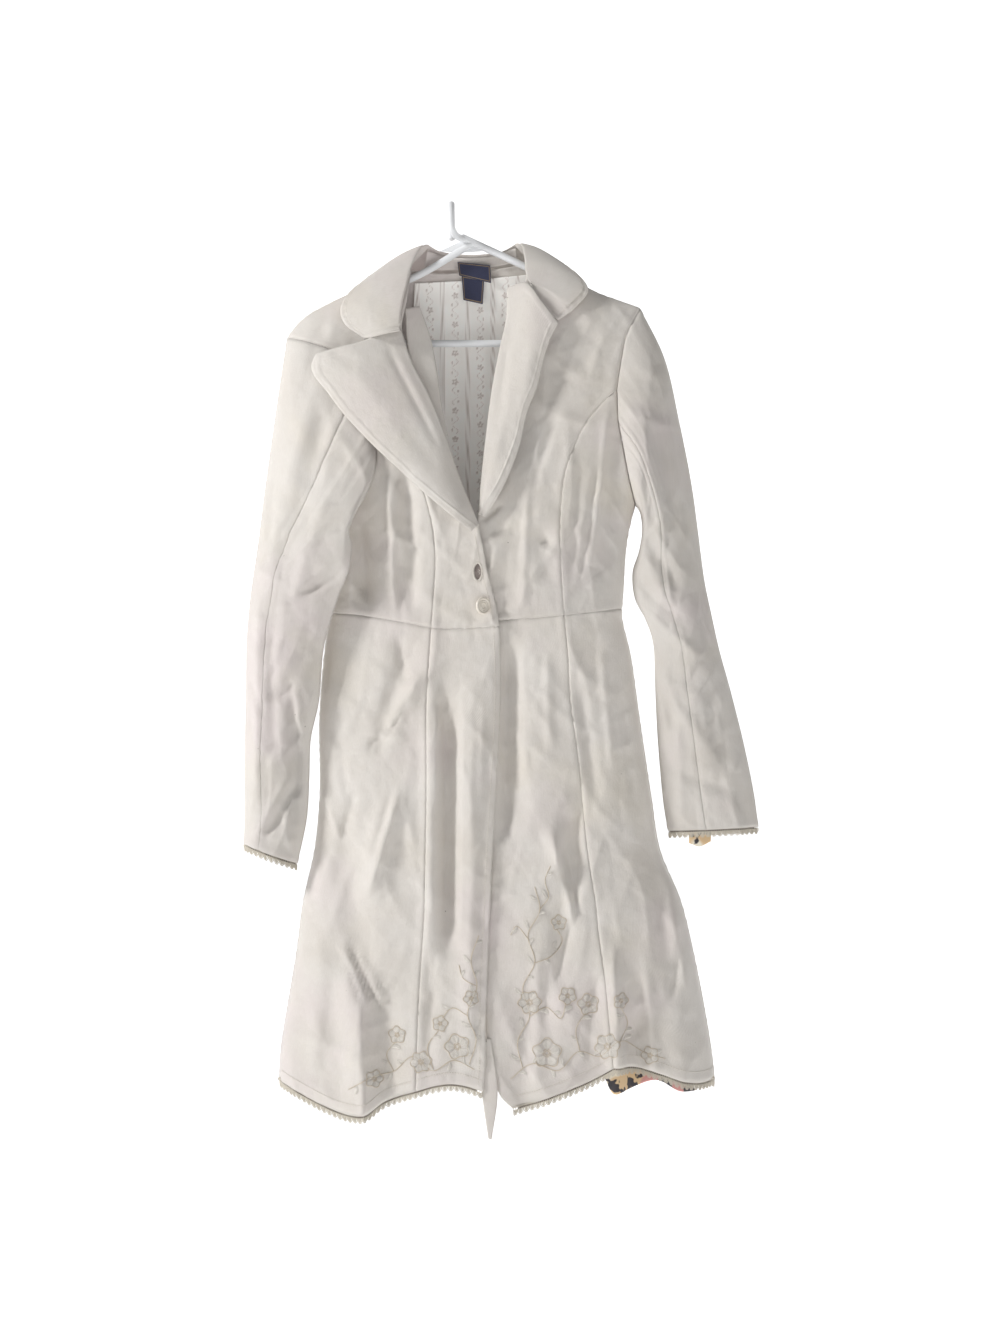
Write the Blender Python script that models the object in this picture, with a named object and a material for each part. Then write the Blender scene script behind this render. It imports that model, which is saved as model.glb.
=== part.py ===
# A long fitted cotton coat with a notched collar, hanging on a tubular plastic hanger.
# The frame is in metres: +Z up, the front faces -Y, the origin is inside the top of the hook.
# "right" and "left" are the wearer's sides, so "right" lies at -X.
import math
from collections import namedtuple

import bmesh
import bpy
import numpy as np
from mathutils import Vector

for old in list(bpy.data.objects):
    bpy.data.objects.remove(old, do_unlink=True)

# Driving dimensions, in millimetres
MM = 0.001
WALL = 1.8
TRIM = 0.15
INNER_TRIM = 0.45
LAP = 5.0
SHOULDER_ROUND = 45.0
FRONT_FLATNESS = 0.62
CENTRE_X = 23.0
AT_SIDE_SEAM = 0.99
ARMHOLE_GAP = 1.2
SLEEVE_TRIM = 0.3
WAIST_GAP = 1.0
LACE_DEPTH = 9.0
THIN_WALL = 1.2
LACE_DROP = 0.45
LACE_DROP_RIGHT = 0.9
LACE_DROP_LEFT = 1.4
LACE_BEHIND = 0.3
SCALLOP = 2.6
SCALLOP_PITCH = 15.0
BUTTON_RADIUS = 10.3
BUTTON_AT = (38.0, -473.0)
BUTTON_LIFT = 7.9
BUTTON_TURN = math.radians(38)
BUTTONHOLE_AT = (31.5, -433.0)
BUTTONHOLE = (8.4, 19.0)
HOOK_INSIDE = 19.0
HOOK_BAR = 4.0
HANGER_RADIUS = 4.3
HANG_DROP = 11.5
BAR_HEIGHT = -161.0
HANGER_Y = -1.0

# How many points each seam has, shared by the panels on both sides of it
ACROSS = {"front_right": 8, "front_left": 10, "side_right": 9, "side_left": 8, "back": 5, "side_back": 6}
SHOULDER_ROWS = 6
BODICE_ROWS = 8
SKIRT_ROWS = 14
SLEEVE_ROWS = 16
COLLAR_COLUMNS = 25

Row = namedtuple("Row", "z left right front back")
Fold = namedtuple("Fold", "x0 z0 x1 z1 width height")
Ring = namedtuple("Ring", "outer_x outer_z outer_y inner_x inner_z inner_y depth")

# Sections of the body: side seams and how far front and back stand out, by height
BODY = [
    Row(-50, -205, 236, 20, 16),
    Row(-150, -200, 232, 32, 26),
    Row(-250, -172, 232, 44, 34),
    Row(-340, -138, 221, 50, 38),
    Row(-395, -134, 209, 50, 38),
    Row(-440, -141, 205, 49, 37),
    Row(-485, -146, 203, 48, 36),
    Row(-525, -151, 212, 50, 38),
    Row(-600, -157, 223, 56, 44),
    Row(-700, -157, 238, 64, 50),
    Row(-761, -163, 248, 68, 54),
    Row(-820, -176, 272, 72, 58),
    Row(-880, -184, 287, 76, 60),
    Row(-940, -194, 299, 80, 62),
    Row(-1000, -203, 309, 86, 64),
    Row(-1080, -205, 316, 92, 68),
]

# The largest folds of the front and of the back: a ridge is positive, a trough negative
FRONT_FOLDS = [
    Fold(-70, -320, -62, -420, 12, 7),
    Fold(-54, -310, -46, -470, 10, -8),
    Fold(-90, -380, -105, -470, 16, -6),
    Fold(128, -170, 80, -300, 18, -6),
    Fold(198, -240, 176, -430, 14, -5),
    Fold(106, -380, 112, -440, 10, -4),
    Fold(0, -560, -2, -870, 13, -11),
    Fold(-22, -560, -20, -880, 10, 6),
    Fold(24, -560, 22, -980, 12, 7),
    Fold(-45, -505, -82, -630, 12, -6),
    Fold(-34, -555, -80, -625, 10, 5),
    Fold(-60, -690, -95, -810, 14, 8),
    Fold(-130, -720, -100, -900, 20, -7),
    Fold(-118, -885, -100, -1080, 16, 12),
    Fold(-75, -900, -68, -1080, 18, -9),
    Fold(75, -510, 72, -740, 16, -10),
    Fold(115, -730, 142, -840, 13, 9),
    Fold(150, -680, 124, -910, 15, -8),
    Fold(187, -865, 197, -1080, 13, 11),
    Fold(212, -940, 216, -1080, 16, -10),
    Fold(262, -820, 275, -1060, 24, 8),
    Fold(92, -900, 84, -1080, 20, -7),
]
BACK_FOLDS = [
    Fold(-70, -300, -50, -470, 20, -5),
    Fold(120, -290, 100, -470, 20, -5),
    Fold(-90, -560, -120, -1080, 26, 13),
    Fold(-30, -600, -40, -1080, 24, -10),
    Fold(23, -620, 30, -1080, 22, 11),
    Fold(90, -590, 110, -1080, 26, -11),
    Fold(150, -560, 190, -1080, 28, 13),
]

# The shoulder line seen from the front, with the neck between x = -48 and x = 96
SHOULDER = [
    (-205, -166), (-195, -154), (-184, -139), (-172, -128), (-153, -117), (-129, -105),
    (-106, -95), (-77, -84), (-48, -73), (23, -62), (96, -63), (120, -74), (150, -88),
    (175, -101), (200, -110), (224, -119), (236, -130),
]

# Seam lines in the front view, from the top down: x, z
ROLL_RIGHT = [
    (-48, -73), (-52, -110), (-58, -150), (-45, -186), (-26, -223), (-5, -276), (12, -326), (32, -376),
]
EDGE_RIGHT = [(32, -376), (37, -400), (43, -433), (50, -460), (55, -484), (57, -497)]
EDGE_SKIRT_RIGHT = [
    (57, -498), (59, -560), (57, -627), (53, -694), (49, -761), (46, -827), (43, -893), (41, -958),
    (40, -1018), (38, -1036),
]
ROLL_LEFT = [
    (96, -63), (86, -90), (72, -120), (64, -150), (57, -186), (50, -233), (42, -286), (36, -332),
    (30, -372),
]
EDGE_LEFT = [(30, -372), (16, -400), (14, -440), (14, -497)]
EDGE_SKIRT_LEFT = [
    (14, -498), (18, -600), (24, -700), (32, -820), (37, -890), (40, -950), (48, -1010), (60, -1044),
    (72, -1056),
]
ARMHOLE_RIGHT = [(-195, -154), (-163, -163), (-133, -176), (-112, -203), (-97, -236)]
ARMHOLE_RIGHT_LOW = [(-97, -236), (-89, -273), (-89, -307), (-101, -338), (-134, -366)]
ARMHOLE_LEFT = [(224, -119), (207, -153), (199, -191), (195, -218)]
ARMHOLE_LEFT_LOW = [(195, -218), (197, -255), (202, -283), (208, -315), (217, -352)]
PRINCESS_RIGHT = [
    (-97, -236), (-66, -270), (-44, -306), (-30, -345), (-20, -389), (-18, -420), (-20, -460),
    (-23, -499),
]
PRINCESS_LEFT = [
    (195, -218), (180, -232), (160, -256), (145, -285), (134, -316), (130, -345), (128, -377),
    (129, -423), (133, -484),
]
PRINCESS_SKIRT_RIGHT = [
    (-24, -500), (-29, -583), (-29, -695), (-30, -773), (-31, -829), (-34, -884), (-37, -934),
    (-40, -1036),
]
PRINCESS_SKIRT_LEFT = [
    (134, -485), (138, -526), (141, -583), (150, -651), (156, -719), (161, -764), (169, -815),
    (173, -854), (180, -910), (185, -966), (189, -1009),
]
WAIST_RIGHT_SIDE = [(-146, -481), (-112, -483), (-70, -490), (-23, -499)]
WAIST_RIGHT_FRONT = [(-23, -499), (0, -500), (30, -499), (57, -497)]
WAIST_LEFT_FRONT = [(14, -497), (58, -490), (104, -487), (133, -484)]
WAIST_LEFT_SIDE = [(133, -484), (150, -482), (175, -479), (203, -475)]
HEM_RIGHT_SIDE = [
    (-204, -1029), (-180, -1040), (-150, -1054), (-118, -1064), (-100, -1064), (-78, -1050),
    (-56, -1041), (-40, -1036),
]
HEM_RIGHT_FRONT = [(-40, -1036), (-20, -1030), (0, -1027), (20, -1030), (38, -1036)]
HEM_LEFT_FRONT = [(72, -1056), (100, -1048), (130, -1037), (160, -1025), (176, -1017), (189, -1009)]
HEM_LEFT_SIDE = [(189, -1009), (215, -1010), (245, -1018), (275, -1028), (300, -1030), (313, -1027)]
SHOULDER_SEAM_RIGHT = [
    (-195, -154), (-184, -139), (-172, -128), (-153, -117), (-129, -105), (-106, -95), (-77, -84),
    (-48, -73),
]
SHOULDER_SEAM_LEFT = [(96, -63), (120, -74), (150, -88), (175, -101), (200, -110), (224, -119)]
SIDE_BODICE_RIGHT = [(-134, -366), (-134, -395), (-141, -440), (-146, -481)]
SIDE_BODICE_LEFT = [(217, -352), (209, -395), (205, -440), (203, -475)]
SIDE_SKIRT_RIGHT = [
    (-146, -482), (-151, -525), (-157, -600), (-157, -700), (-163, -761), (-176, -820), (-184, -880),
    (-194, -940), (-203, -1000), (-204, -1029),
]
SIDE_SKIRT_LEFT = [
    (203, -476), (212, -525), (223, -600), (238, -700), (248, -761), (272, -820), (287, -880),
    (299, -940), (309, -1000), (313, -1027),
]
BACK_NECK_RIGHT = [(-48, -73), (-20, -76), (CENTRE_X, -74)]
BACK_NECK_LEFT = [(CENTRE_X, -74), (60, -70), (96, -63)]
BACK_ARMHOLE_RIGHT = [(-195, -154), (-172, -180), (-156, -220), (-148, -260)]
BACK_ARMHOLE_RIGHT_LOW = [(-148, -260), (-142, -300), (-139, -335), (-134, -366)]
BACK_ARMHOLE_LEFT = [(224, -119), (214, -160), (206, -205), (202, -245)]
BACK_ARMHOLE_LEFT_LOW = [(202, -245), (204, -290), (209, -325), (217, -352)]
BACK_PRINCESS_RIGHT = [(-148, -260), (-110, -290), (-76, -340), (-56, -410), (-50, -488)]
BACK_PRINCESS_LEFT = [(202, -245), (166, -285), (128, -340), (104, -410), (98, -488)]
CENTRE_BACK = [(CENTRE_X, -74), (CENTRE_X, -200), (CENTRE_X, -350), (CENTRE_X, -490)]
BACK_WAIST_RIGHT = [(-50, -488), (-20, -489), (CENTRE_X, -490)]
BACK_WAIST_LEFT = [(CENTRE_X, -490), (60, -489), (98, -488)]
SIDE_BACK_WAIST_RIGHT = [(-146, -481), (-100, -485), (-50, -488)]
SIDE_BACK_WAIST_LEFT = [(98, -488), (150, -483), (203, -475)]
SKIRT_BACK_RIGHT = [(-50, -489), (-54, -620), (-62, -800), (-72, -1031)]
SKIRT_BACK_LEFT = [(98, -489), (108, -620), (128, -800), (150, -1032)]
SKIRT_CENTRE_BACK = [(CENTRE_X, -491), (CENTRE_X, -650), (CENTRE_X, -850), (CENTRE_X, -1034)]
HEM_BACK_RIGHT = [(-72, -1031), (-40, -1028), (-8, -1031), (CENTRE_X, -1034)]
HEM_BACK_LEFT = [(CENTRE_X, -1034), (60, -1029), (90, -1026), (150, -1032)]
HEM_SIDE_BACK_RIGHT = [(-204, -1029), (-160, -1035), (-120, -1036), (-72, -1031)]
HEM_SIDE_BACK_LEFT = [(150, -1032), (200, -1034), (260, -1031), (313, -1027)]

# The sleeves, from the armhole down: the outer and inner edge of the flat tube
SLEEVE_RIGHT = [
    Ring(-195, -154, 0, -134, -366, 0, 0),
    Ring(-206, -233, -10, -140, -380, -12, 10),
    Ring(-219, -327, -14, -131, -398, -42, 18),
    Ring(-228, -400, -18, -120, -429, -62, 20),
    Ring(-236, -456, -20, -131, -462, -54, 22),
    Ring(-241, -514, -22, -148, -520, -48, 24),
    Ring(-242, -583, -24, -154, -583, -44, 24),
    Ring(-243, -640, -26, -164, -629, -40, 23),
    Ring(-243, -690, -28, -166, -675, -38, 22),
    Ring(-243, -730, -30, -169, -722, -36, 21),
    Ring(-244, -752, -30, -180, -775, -34, 20),
]
SLEEVE_LEFT = [
    Ring(224, -119, 0, 217, -352, 0, 0),
    Ring(253, -180, -4, 225, -366, -6, 18),
    Ring(270, -254, -6, 226, -386, -8, 24),
    Ring(284, -326, -8, 221, -410, -10, 26),
    Ring(292, -385, -10, 214, -434, -12, 26),
    Ring(299, -440, -12, 217, -464, -12, 25),
    Ring(307, -480, -14, 230, -490, -12, 24),
    Ring(317, -525, -14, 239, -520, -12, 24),
    Ring(330, -572, -14, 241, -570, -12, 23),
    Ring(345, -632, -14, 244, -630, -12, 22),
    Ring(357, -690, -14, 250, -700, -12, 21),
    Ring(363, -733, -14, 256, -738, -12, 20),
]


def smooth(table, at):
    """A smooth curve through (position, value) pairs, with the slopes of its neighbours."""
    table = sorted(table)
    place = np.array([row[0] for row in table], float)
    value = np.array([row[1] for row in table], float)
    slope = np.gradient(value, place)
    at = np.clip(at, place[0], place[-1])
    k = np.clip(np.searchsorted(place, at) - 1, 0, len(place) - 2)
    span = place[k + 1] - place[k]
    t = (at - place[k]) / span
    start = (1 + 2 * t) * (1 - t) ** 2 * value[k] + t * (1 - t) ** 2 * span * slope[k]
    end = t * t * (3 - 2 * t) * value[k + 1] - t * t * (1 - t) * span * slope[k + 1]
    return start + end


def along(points, t):
    """Points at the shares t of the length of a smooth line through the given points."""
    points = np.array(points, float)
    step = np.linalg.norm(np.diff(points, axis=0), axis=1)
    place = np.concatenate([[0], np.cumsum(step)])
    place /= place[-1]
    return np.stack([smooth(list(zip(place, column)), t) for column in points.T], -1)


def step_up(t):
    """A soft step from 0 to 1."""
    t = np.clip(t, 0, 1)
    return t * t * (3 - 2 * t)


def section(z):
    """Middle, half width, front and back depth of the body at height z."""
    left = smooth([(row.z, row.left) for row in BODY], z)
    right = smooth([(row.z, row.right) for row in BODY], z)
    front = smooth([(row.z, row.front) for row in BODY], z)
    back = smooth([(row.z, row.back) for row in BODY], z)
    return (left + right) / 2, (right - left) / 2, front, back


def relief(folds, x, z):
    """The sum of the folds: each is a soft ridge or trough that fades at both ends."""
    total = np.zeros_like(x)
    for fold in folds:
        run = np.array([fold.x1 - fold.x0, fold.z1 - fold.z0], float)
        length = np.linalg.norm(run)
        t = ((x - fold.x0) * run[0] + (z - fold.z0) * run[1]) / length**2
        held = np.clip(t, 0, 1)
        away = np.hypot(x - fold.x0 - held * run[0], z - fold.z0 - held * run[1])
        fade = step_up(t / 0.3 + 0.2) * step_up((1.2 - t) / 0.4)
        total += fold.height * np.exp(-((away / fold.width) ** 2)) * fade
    return total


def round_over(x, z):
    """How far the cloth has turned down from the shoulder line, from 0 to 1."""
    drop = np.clip((smooth(SHOULDER, x) - z) / SHOULDER_ROUND, 0, 1)
    return np.sqrt(np.clip(1 - (1 - drop) ** 2, 0, 1))


def body(angle, z, lap=0.0):
    """The body's outer face: angle is 0 at mid front, a quarter turn at a side seam."""
    middle, half, front, back = section(z)
    x = middle + half * np.sin(angle)
    facing = np.where(np.cos(angle) >= 0, 1.0, -1.0)
    swell = np.clip(np.abs(np.cos(angle)), 0, 1) ** FRONT_FLATNESS
    depth = np.where(facing > 0, front, back) * swell * round_over(x, z)
    edge = step_up(np.abs(np.cos(angle)) / 0.5)
    waves = np.where(facing > 0, relief(FRONT_FOLDS, x, z), relief(BACK_FOLDS, x, z))
    y = -facing * (depth + waves * edge)
    under = (1 - step_up((x - 60) / 45)) * round_over(x, z) * np.where(facing > 0, 1.0, 0.0)
    return np.stack([x, y + lap * under, z], -1)


def turn(points, back=False):
    """Front view x and z made the body's own angle and z."""
    points = np.array(points, float)
    middle, half, _, _ = section(points[:, 1])
    share = np.clip((points[:, 0] - middle) / half, -1, 1)
    angle = np.arcsin(np.where(np.abs(share) > AT_SIDE_SEAM, np.sign(share), share))
    if back:
        angle = math.pi - angle
    return np.stack([angle, points[:, 1]], -1)


def seam(line, count, back=False, gather=1.0):
    """A seam line as that many places on the body, which both panels at the seam share."""
    return turn(along(line, np.linspace(0, 1, count) ** gather), back)


def side_seam(line, count, side, back=False):
    """A side seam, exactly where front and back meet: side is -1 at the right, 1 at the left."""
    z = along(line, np.linspace(0, 1, count))[:, 1]
    angle = side * math.pi / 2
    return np.stack([np.full(count, math.pi - angle if back else angle), z], -1)


def join(*lines):
    """Seam lines that follow each other, as one."""
    return np.concatenate([lines[0]] + [line[1:] for line in lines[1:]])


def patch(top, bottom, near, far):
    """A grid filled in between four lines: near and far run down, top and bottom run across."""
    uu = np.linspace(0, 1, len(top))[None, :, None]
    vv = np.linspace(0, 1, len(near))[:, None, None]
    grid = (1 - vv) * top[None] + vv * bottom[None] + (1 - uu) * near[:, None] + uu * far[:, None]
    corners = (1 - uu) * (1 - vv) * near[0] + uu * (1 - vv) * far[0]
    return grid - corners - (1 - uu) * vv * near[-1] - uu * vv * far[-1]


def shrink(grid, trim):
    """The same grid with its four edges drawn in by a small distance."""
    grid = grid.copy()
    for view in (grid, grid[::-1], grid.swapaxes(0, 1), grid.swapaxes(0, 1)[::-1]):
        step = view[1] - view[0]
        size = np.linalg.norm(step, axis=-1, keepdims=True)
        view[0] += step / np.maximum(size, 1e-6) * np.minimum(trim, size * 0.45)
    return grid


def grid_normals(grid):
    """Unit normals of a grid, from the differences between its points."""
    across = np.gradient(grid, axis=1)
    down = np.gradient(grid, axis=0)
    normal = np.cross(across, down)
    return normal / np.maximum(np.linalg.norm(normal, axis=-1, keepdims=True), 1e-9)


def material(name, colour, roughness, metallic=0.0):
    """A plain surface of one colour."""
    made = bpy.data.materials.new(name)
    made.use_nodes = True
    shader = made.node_tree.nodes["Principled BSDF"]
    shader.inputs["Base Color"].default_value = (*colour, 1.0)
    shader.inputs["Roughness"].default_value = roughness
    shader.inputs["Metallic"].default_value = metallic
    return made


def add_mesh(name, points, faces, made_of):
    """A named object from points in millimetres."""
    mesh = bpy.data.meshes.new(name)
    mesh.from_pydata([tuple(p * MM) for p in points], [], faces)
    mesh.validate()
    mesh.materials.append(made_of)
    obj = bpy.data.objects.new(name, mesh)
    bpy.context.collection.objects.link(obj)
    return obj


def signed_volume(points, faces):
    """The volume of a closed body of flat faces, negative if it is inside out."""
    total = 0.0
    for face in faces:
        for k in range(1, len(face) - 1):
            a, b, c = points[face[0]], points[face[k]], points[face[k + 1]]
            total += float(np.dot(a, np.cross(b, c)))
    return total


def add_wall(name, outer, inner, made_of):
    """A closed cloth wall between an outer and an inner grid of points."""
    rows, columns = outer.shape[:2]
    points = np.concatenate([outer.reshape(-1, 3), inner.reshape(-1, 3)])
    index = np.arange(rows * columns).reshape(rows, columns)
    under = index + rows * columns
    faces = []
    for r in range(rows - 1):
        for c in range(columns - 1):
            a, b, d, e = index[r, c], index[r, c + 1], index[r + 1, c + 1], index[r + 1, c]
            faces += [(a, b, d), (a, d, e)]
            a, b, d, e = under[r, c], under[r, c + 1], under[r + 1, c + 1], under[r + 1, c]
            faces += [(a, d, b), (a, e, d)]
    rim = [(0, c) for c in range(columns)]
    rim += [(r, columns - 1) for r in range(1, rows)]
    rim += [(rows - 1, c) for c in range(columns - 2, -1, -1)]
    rim += [(r, 0) for r in range(rows - 2, 0, -1)]
    for (r0, c0), (r1, c1) in zip(rim, rim[1:] + rim[:1]):
        faces.append((index[r0, c0], under[r0, c0], under[r1, c1]))
        faces.append((index[r0, c0], under[r1, c1], index[r1, c1]))
    faces = [tuple(int(k) for k in face) for face in faces]
    if signed_volume(points, faces) < 0:
        faces = [face[::-1] for face in faces]
    return add_mesh(name, points, faces, made_of)


def add_panel(name, top, bottom, near, far, back=False, lap=0.0):
    """A panel of the body between four seams."""
    place = patch(top, bottom, near, far)
    angle, z = place[..., 0], place[..., 1]
    z = np.minimum(z, smooth(SHOULDER, body(angle, z)[..., 0]))
    outer = body(angle, z, lap)
    small = 0.002
    beside = np.minimum(z, smooth(SHOULDER, outer[..., 0]) - 1.5)
    along_angle = body(angle + small, beside, lap) - body(angle - small, beside, lap)
    along_z = body(angle, beside + 0.5, lap) - body(angle, beside - 0.5, lap)
    normal = np.cross(along_angle, along_z)
    normal /= np.maximum(np.linalg.norm(normal, axis=-1, keepdims=True), 1e-9)
    outer = shrink(outer, TRIM)
    inner = shrink(outer - normal * WALL, INNER_TRIM)
    for grid in (outer, inner):
        grid[..., 1] = np.maximum(grid[..., 1], TRIM) if back else np.minimum(grid[..., 1], -TRIM)
    return add_wall(name, outer, inner, COTTON)


def add_sheet(name, grid, wall, made_of, facing=1.0, normal=None, trim=TRIM):
    """A cloth piece with its own grid; the wall goes to the side away from facing."""
    normal = (grid_normals(grid) if normal is None else normal) * facing
    outer = shrink(grid, trim)
    inner = shrink(grid - normal * wall, trim + INNER_TRIM)
    return add_wall(name, outer, inner, made_of)


COTTON = material("cream cotton twill", (0.74, 0.69, 0.62), 0.85)
LINING = material("printed cotton lining", (0.78, 0.74, 0.68), 0.7)
LACE = material("cotton crochet lace", (0.72, 0.66, 0.56), 0.9)
LABEL = material("navy woven label", (0.02, 0.03, 0.09), 0.7)
HORN = material("bone coloured button", (0.72, 0.66, 0.55), 0.35)
PLASTIC = material("white hanger plastic", (0.86, 0.87, 0.88), 0.35)


# The seams of the bodice
shoulder_right = seam(SHOULDER_SEAM_RIGHT, ACROSS["front_right"])
shoulder_left = seam(SHOULDER_SEAM_LEFT, ACROSS["front_left"])
arm_right = seam(ARMHOLE_RIGHT, SHOULDER_ROWS, gather=1.3)
arm_left = seam(ARMHOLE_LEFT, SHOULDER_ROWS, gather=1.3)
arm_low_right = seam(ARMHOLE_RIGHT_LOW, ACROSS["side_right"])
arm_low_left = seam(ARMHOLE_LEFT_LOW, ACROSS["side_left"])
princess_right = seam(PRINCESS_RIGHT, BODICE_ROWS)
princess_left = seam(PRINCESS_LEFT, BODICE_ROWS)
waist_front_right = seam(WAIST_RIGHT_FRONT, ACROSS["front_right"])
waist_front_left = seam(WAIST_LEFT_FRONT, ACROSS["front_left"])
waist_side_right = seam(WAIST_RIGHT_SIDE, ACROSS["side_right"])
waist_side_left = seam(WAIST_LEFT_SIDE, ACROSS["side_left"])
centre_rows = SHOULDER_ROWS + BODICE_ROWS - 1
opening_right = join(seam(ROLL_RIGHT, 9, gather=1.2), seam(EDGE_RIGHT, centre_rows - 8))
opening_left = join(seam(ROLL_LEFT, 9, gather=1.2), seam(EDGE_LEFT, centre_rows - 8))

add_panel(
    "bodice_front_right", shoulder_right, waist_front_right, join(arm_right, princess_right),
    opening_right)
add_panel(
    "bodice_front_left", shoulder_left, waist_front_left, opening_left, join(arm_left, princess_left),
    lap=LAP)
add_panel(
    "bodice_side_right", arm_low_right[::-1], waist_side_right, side_seam(SIDE_BODICE_RIGHT, BODICE_ROWS, -1),
    princess_right)
add_panel(
    "bodice_side_left", arm_low_left, waist_side_left, princess_left,
    side_seam(SIDE_BODICE_LEFT, BODICE_ROWS, 1))

# The back of the bodice, with a centre back seam
back = ACROSS["back"]
side_back = ACROSS["side_back"]
back_top_right = join(
    seam(SHOULDER_SEAM_RIGHT, back, True, gather=1.2), seam(BACK_NECK_RIGHT, 5, True))
back_top_left = join(seam(BACK_NECK_LEFT, 5, True), seam(SHOULDER_SEAM_LEFT, back, True))
back_arm_right = seam(BACK_ARMHOLE_RIGHT, SHOULDER_ROWS, True, gather=1.3)
back_arm_left = seam(BACK_ARMHOLE_LEFT, SHOULDER_ROWS, True, gather=1.3)
back_arm_low_right = seam(BACK_ARMHOLE_RIGHT_LOW, side_back, True)
back_arm_low_left = seam(BACK_ARMHOLE_LEFT_LOW, side_back, True)
back_princess_right = seam(BACK_PRINCESS_RIGHT, BODICE_ROWS, True)
back_princess_left = seam(BACK_PRINCESS_LEFT, BODICE_ROWS, True)
centre_back = seam(CENTRE_BACK, centre_rows, True, gather=1.3)
back_waist_right = seam(BACK_WAIST_RIGHT, back + 4, True)
back_waist_left = seam(BACK_WAIST_LEFT, back + 4, True)
side_waist_right = seam(SIDE_BACK_WAIST_RIGHT, side_back, True)
side_waist_left = seam(SIDE_BACK_WAIST_LEFT, side_back, True)
add_panel(
    "bodice_back_right", back_top_right, back_waist_right, join(back_arm_right, back_princess_right),
    centre_back, True)
add_panel(
    "bodice_back_left", back_top_left, back_waist_left, centre_back, join(back_arm_left, back_princess_left),
    True)
add_panel(
    "bodice_side_back_right", back_arm_low_right[::-1], side_waist_right,
    side_seam(SIDE_BODICE_RIGHT, BODICE_ROWS, -1, True), back_princess_right, True)
add_panel(
    "bodice_side_back_left", back_arm_low_left, side_waist_left, back_princess_left,
    side_seam(SIDE_BODICE_LEFT, BODICE_ROWS, 1, True), True)

# The skirt: eight gores between the waist and the hem
waist_gap = np.array([0.0, WAIST_GAP])
gore_right = seam(PRINCESS_SKIRT_RIGHT, SKIRT_ROWS)
gore_left = seam(PRINCESS_SKIRT_LEFT, SKIRT_ROWS)
gore_back_right = seam(SKIRT_BACK_RIGHT, SKIRT_ROWS, True)
gore_back_left = seam(SKIRT_BACK_LEFT, SKIRT_ROWS, True)
skirt_centre_back = seam(SKIRT_CENTRE_BACK, SKIRT_ROWS, True)
hem_front_right = seam(HEM_RIGHT_FRONT, ACROSS["front_right"])
hem_front_left = seam(HEM_LEFT_FRONT, ACROSS["front_left"])
hem_side_right = seam(HEM_RIGHT_SIDE, ACROSS["side_right"])
hem_side_left = seam(HEM_LEFT_SIDE, ACROSS["side_left"])
add_panel(
    "skirt_front_right", waist_front_right - waist_gap, hem_front_right, gore_right,
    seam(EDGE_SKIRT_RIGHT, SKIRT_ROWS))
add_panel(
    "skirt_front_left", waist_front_left - waist_gap, hem_front_left, seam(EDGE_SKIRT_LEFT, SKIRT_ROWS),
    gore_left, lap=LAP)
add_panel(
    "skirt_side_right", waist_side_right - waist_gap, hem_side_right,
    side_seam(SIDE_SKIRT_RIGHT, SKIRT_ROWS, -1), gore_right)
add_panel(
    "skirt_side_left", waist_side_left - waist_gap, hem_side_left, gore_left,
    side_seam(SIDE_SKIRT_LEFT, SKIRT_ROWS, 1))
add_panel(
    "skirt_back_right", back_waist_right - waist_gap, seam(HEM_BACK_RIGHT, back + 4, True), gore_back_right,
    skirt_centre_back, True)
add_panel(
    "skirt_back_left", back_waist_left - waist_gap, seam(HEM_BACK_LEFT, back + 4, True), skirt_centre_back,
    gore_back_left, True)
add_panel(
    "skirt_side_back_right", side_waist_right - waist_gap, seam(HEM_SIDE_BACK_RIGHT, side_back, True),
    side_seam(SIDE_SKIRT_RIGHT, SKIRT_ROWS, -1, True), gore_back_right, True)
add_panel(
    "skirt_side_back_left", side_waist_left - waist_gap, seam(HEM_SIDE_BACK_LEFT, side_back, True),
    gore_back_left, side_seam(SIDE_SKIRT_LEFT, SKIRT_ROWS, 1, True), True)


def sleeve(rings, front_edge, back_edge, down):
    """Front and back half of a sleeve: rings of a flat tube that start at the armhole."""
    v = np.linspace(0, 1, len(rings))
    t = np.linspace(0, 1, down)
    column = {}
    for field in Ring._fields:
        column[field] = smooth(list(zip(v, [getattr(ring, field) for ring in rings])), t)
    outer = np.stack([column["outer_x"], column["outer_y"], column["outer_z"]], -1)
    inner = np.stack([column["inner_x"], column["inner_y"], column["inner_z"]], -1)
    chord = inner - outer
    flat = np.stack([-chord[:, 1], chord[:, 0], 0 * chord[:, 0]], -1)
    flat /= np.linalg.norm(flat, axis=1, keepdims=True) * np.sign(flat[:, 1:2])
    halves = []
    for place, sign in ((front_edge, -1), (back_edge, 1)):
        edge = body(place[:, 0], place[:, 1])
        u = np.linspace(0, 1, len(edge))[:, None]
        bow = edge - (outer[0] + u * (inner[0] - outer[0]))
        hold = (1 - step_up(t / 0.34))[:, None, None]
        swell = np.sin(math.pi * u.T) ** 0.7
        grid = outer[:, None] + u[None] * chord[:, None] + hold * bow[None]
        halves.append(grid + sign * (column["depth"][:, None] * swell)[..., None] * flat[:, None])
    return halves


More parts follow.
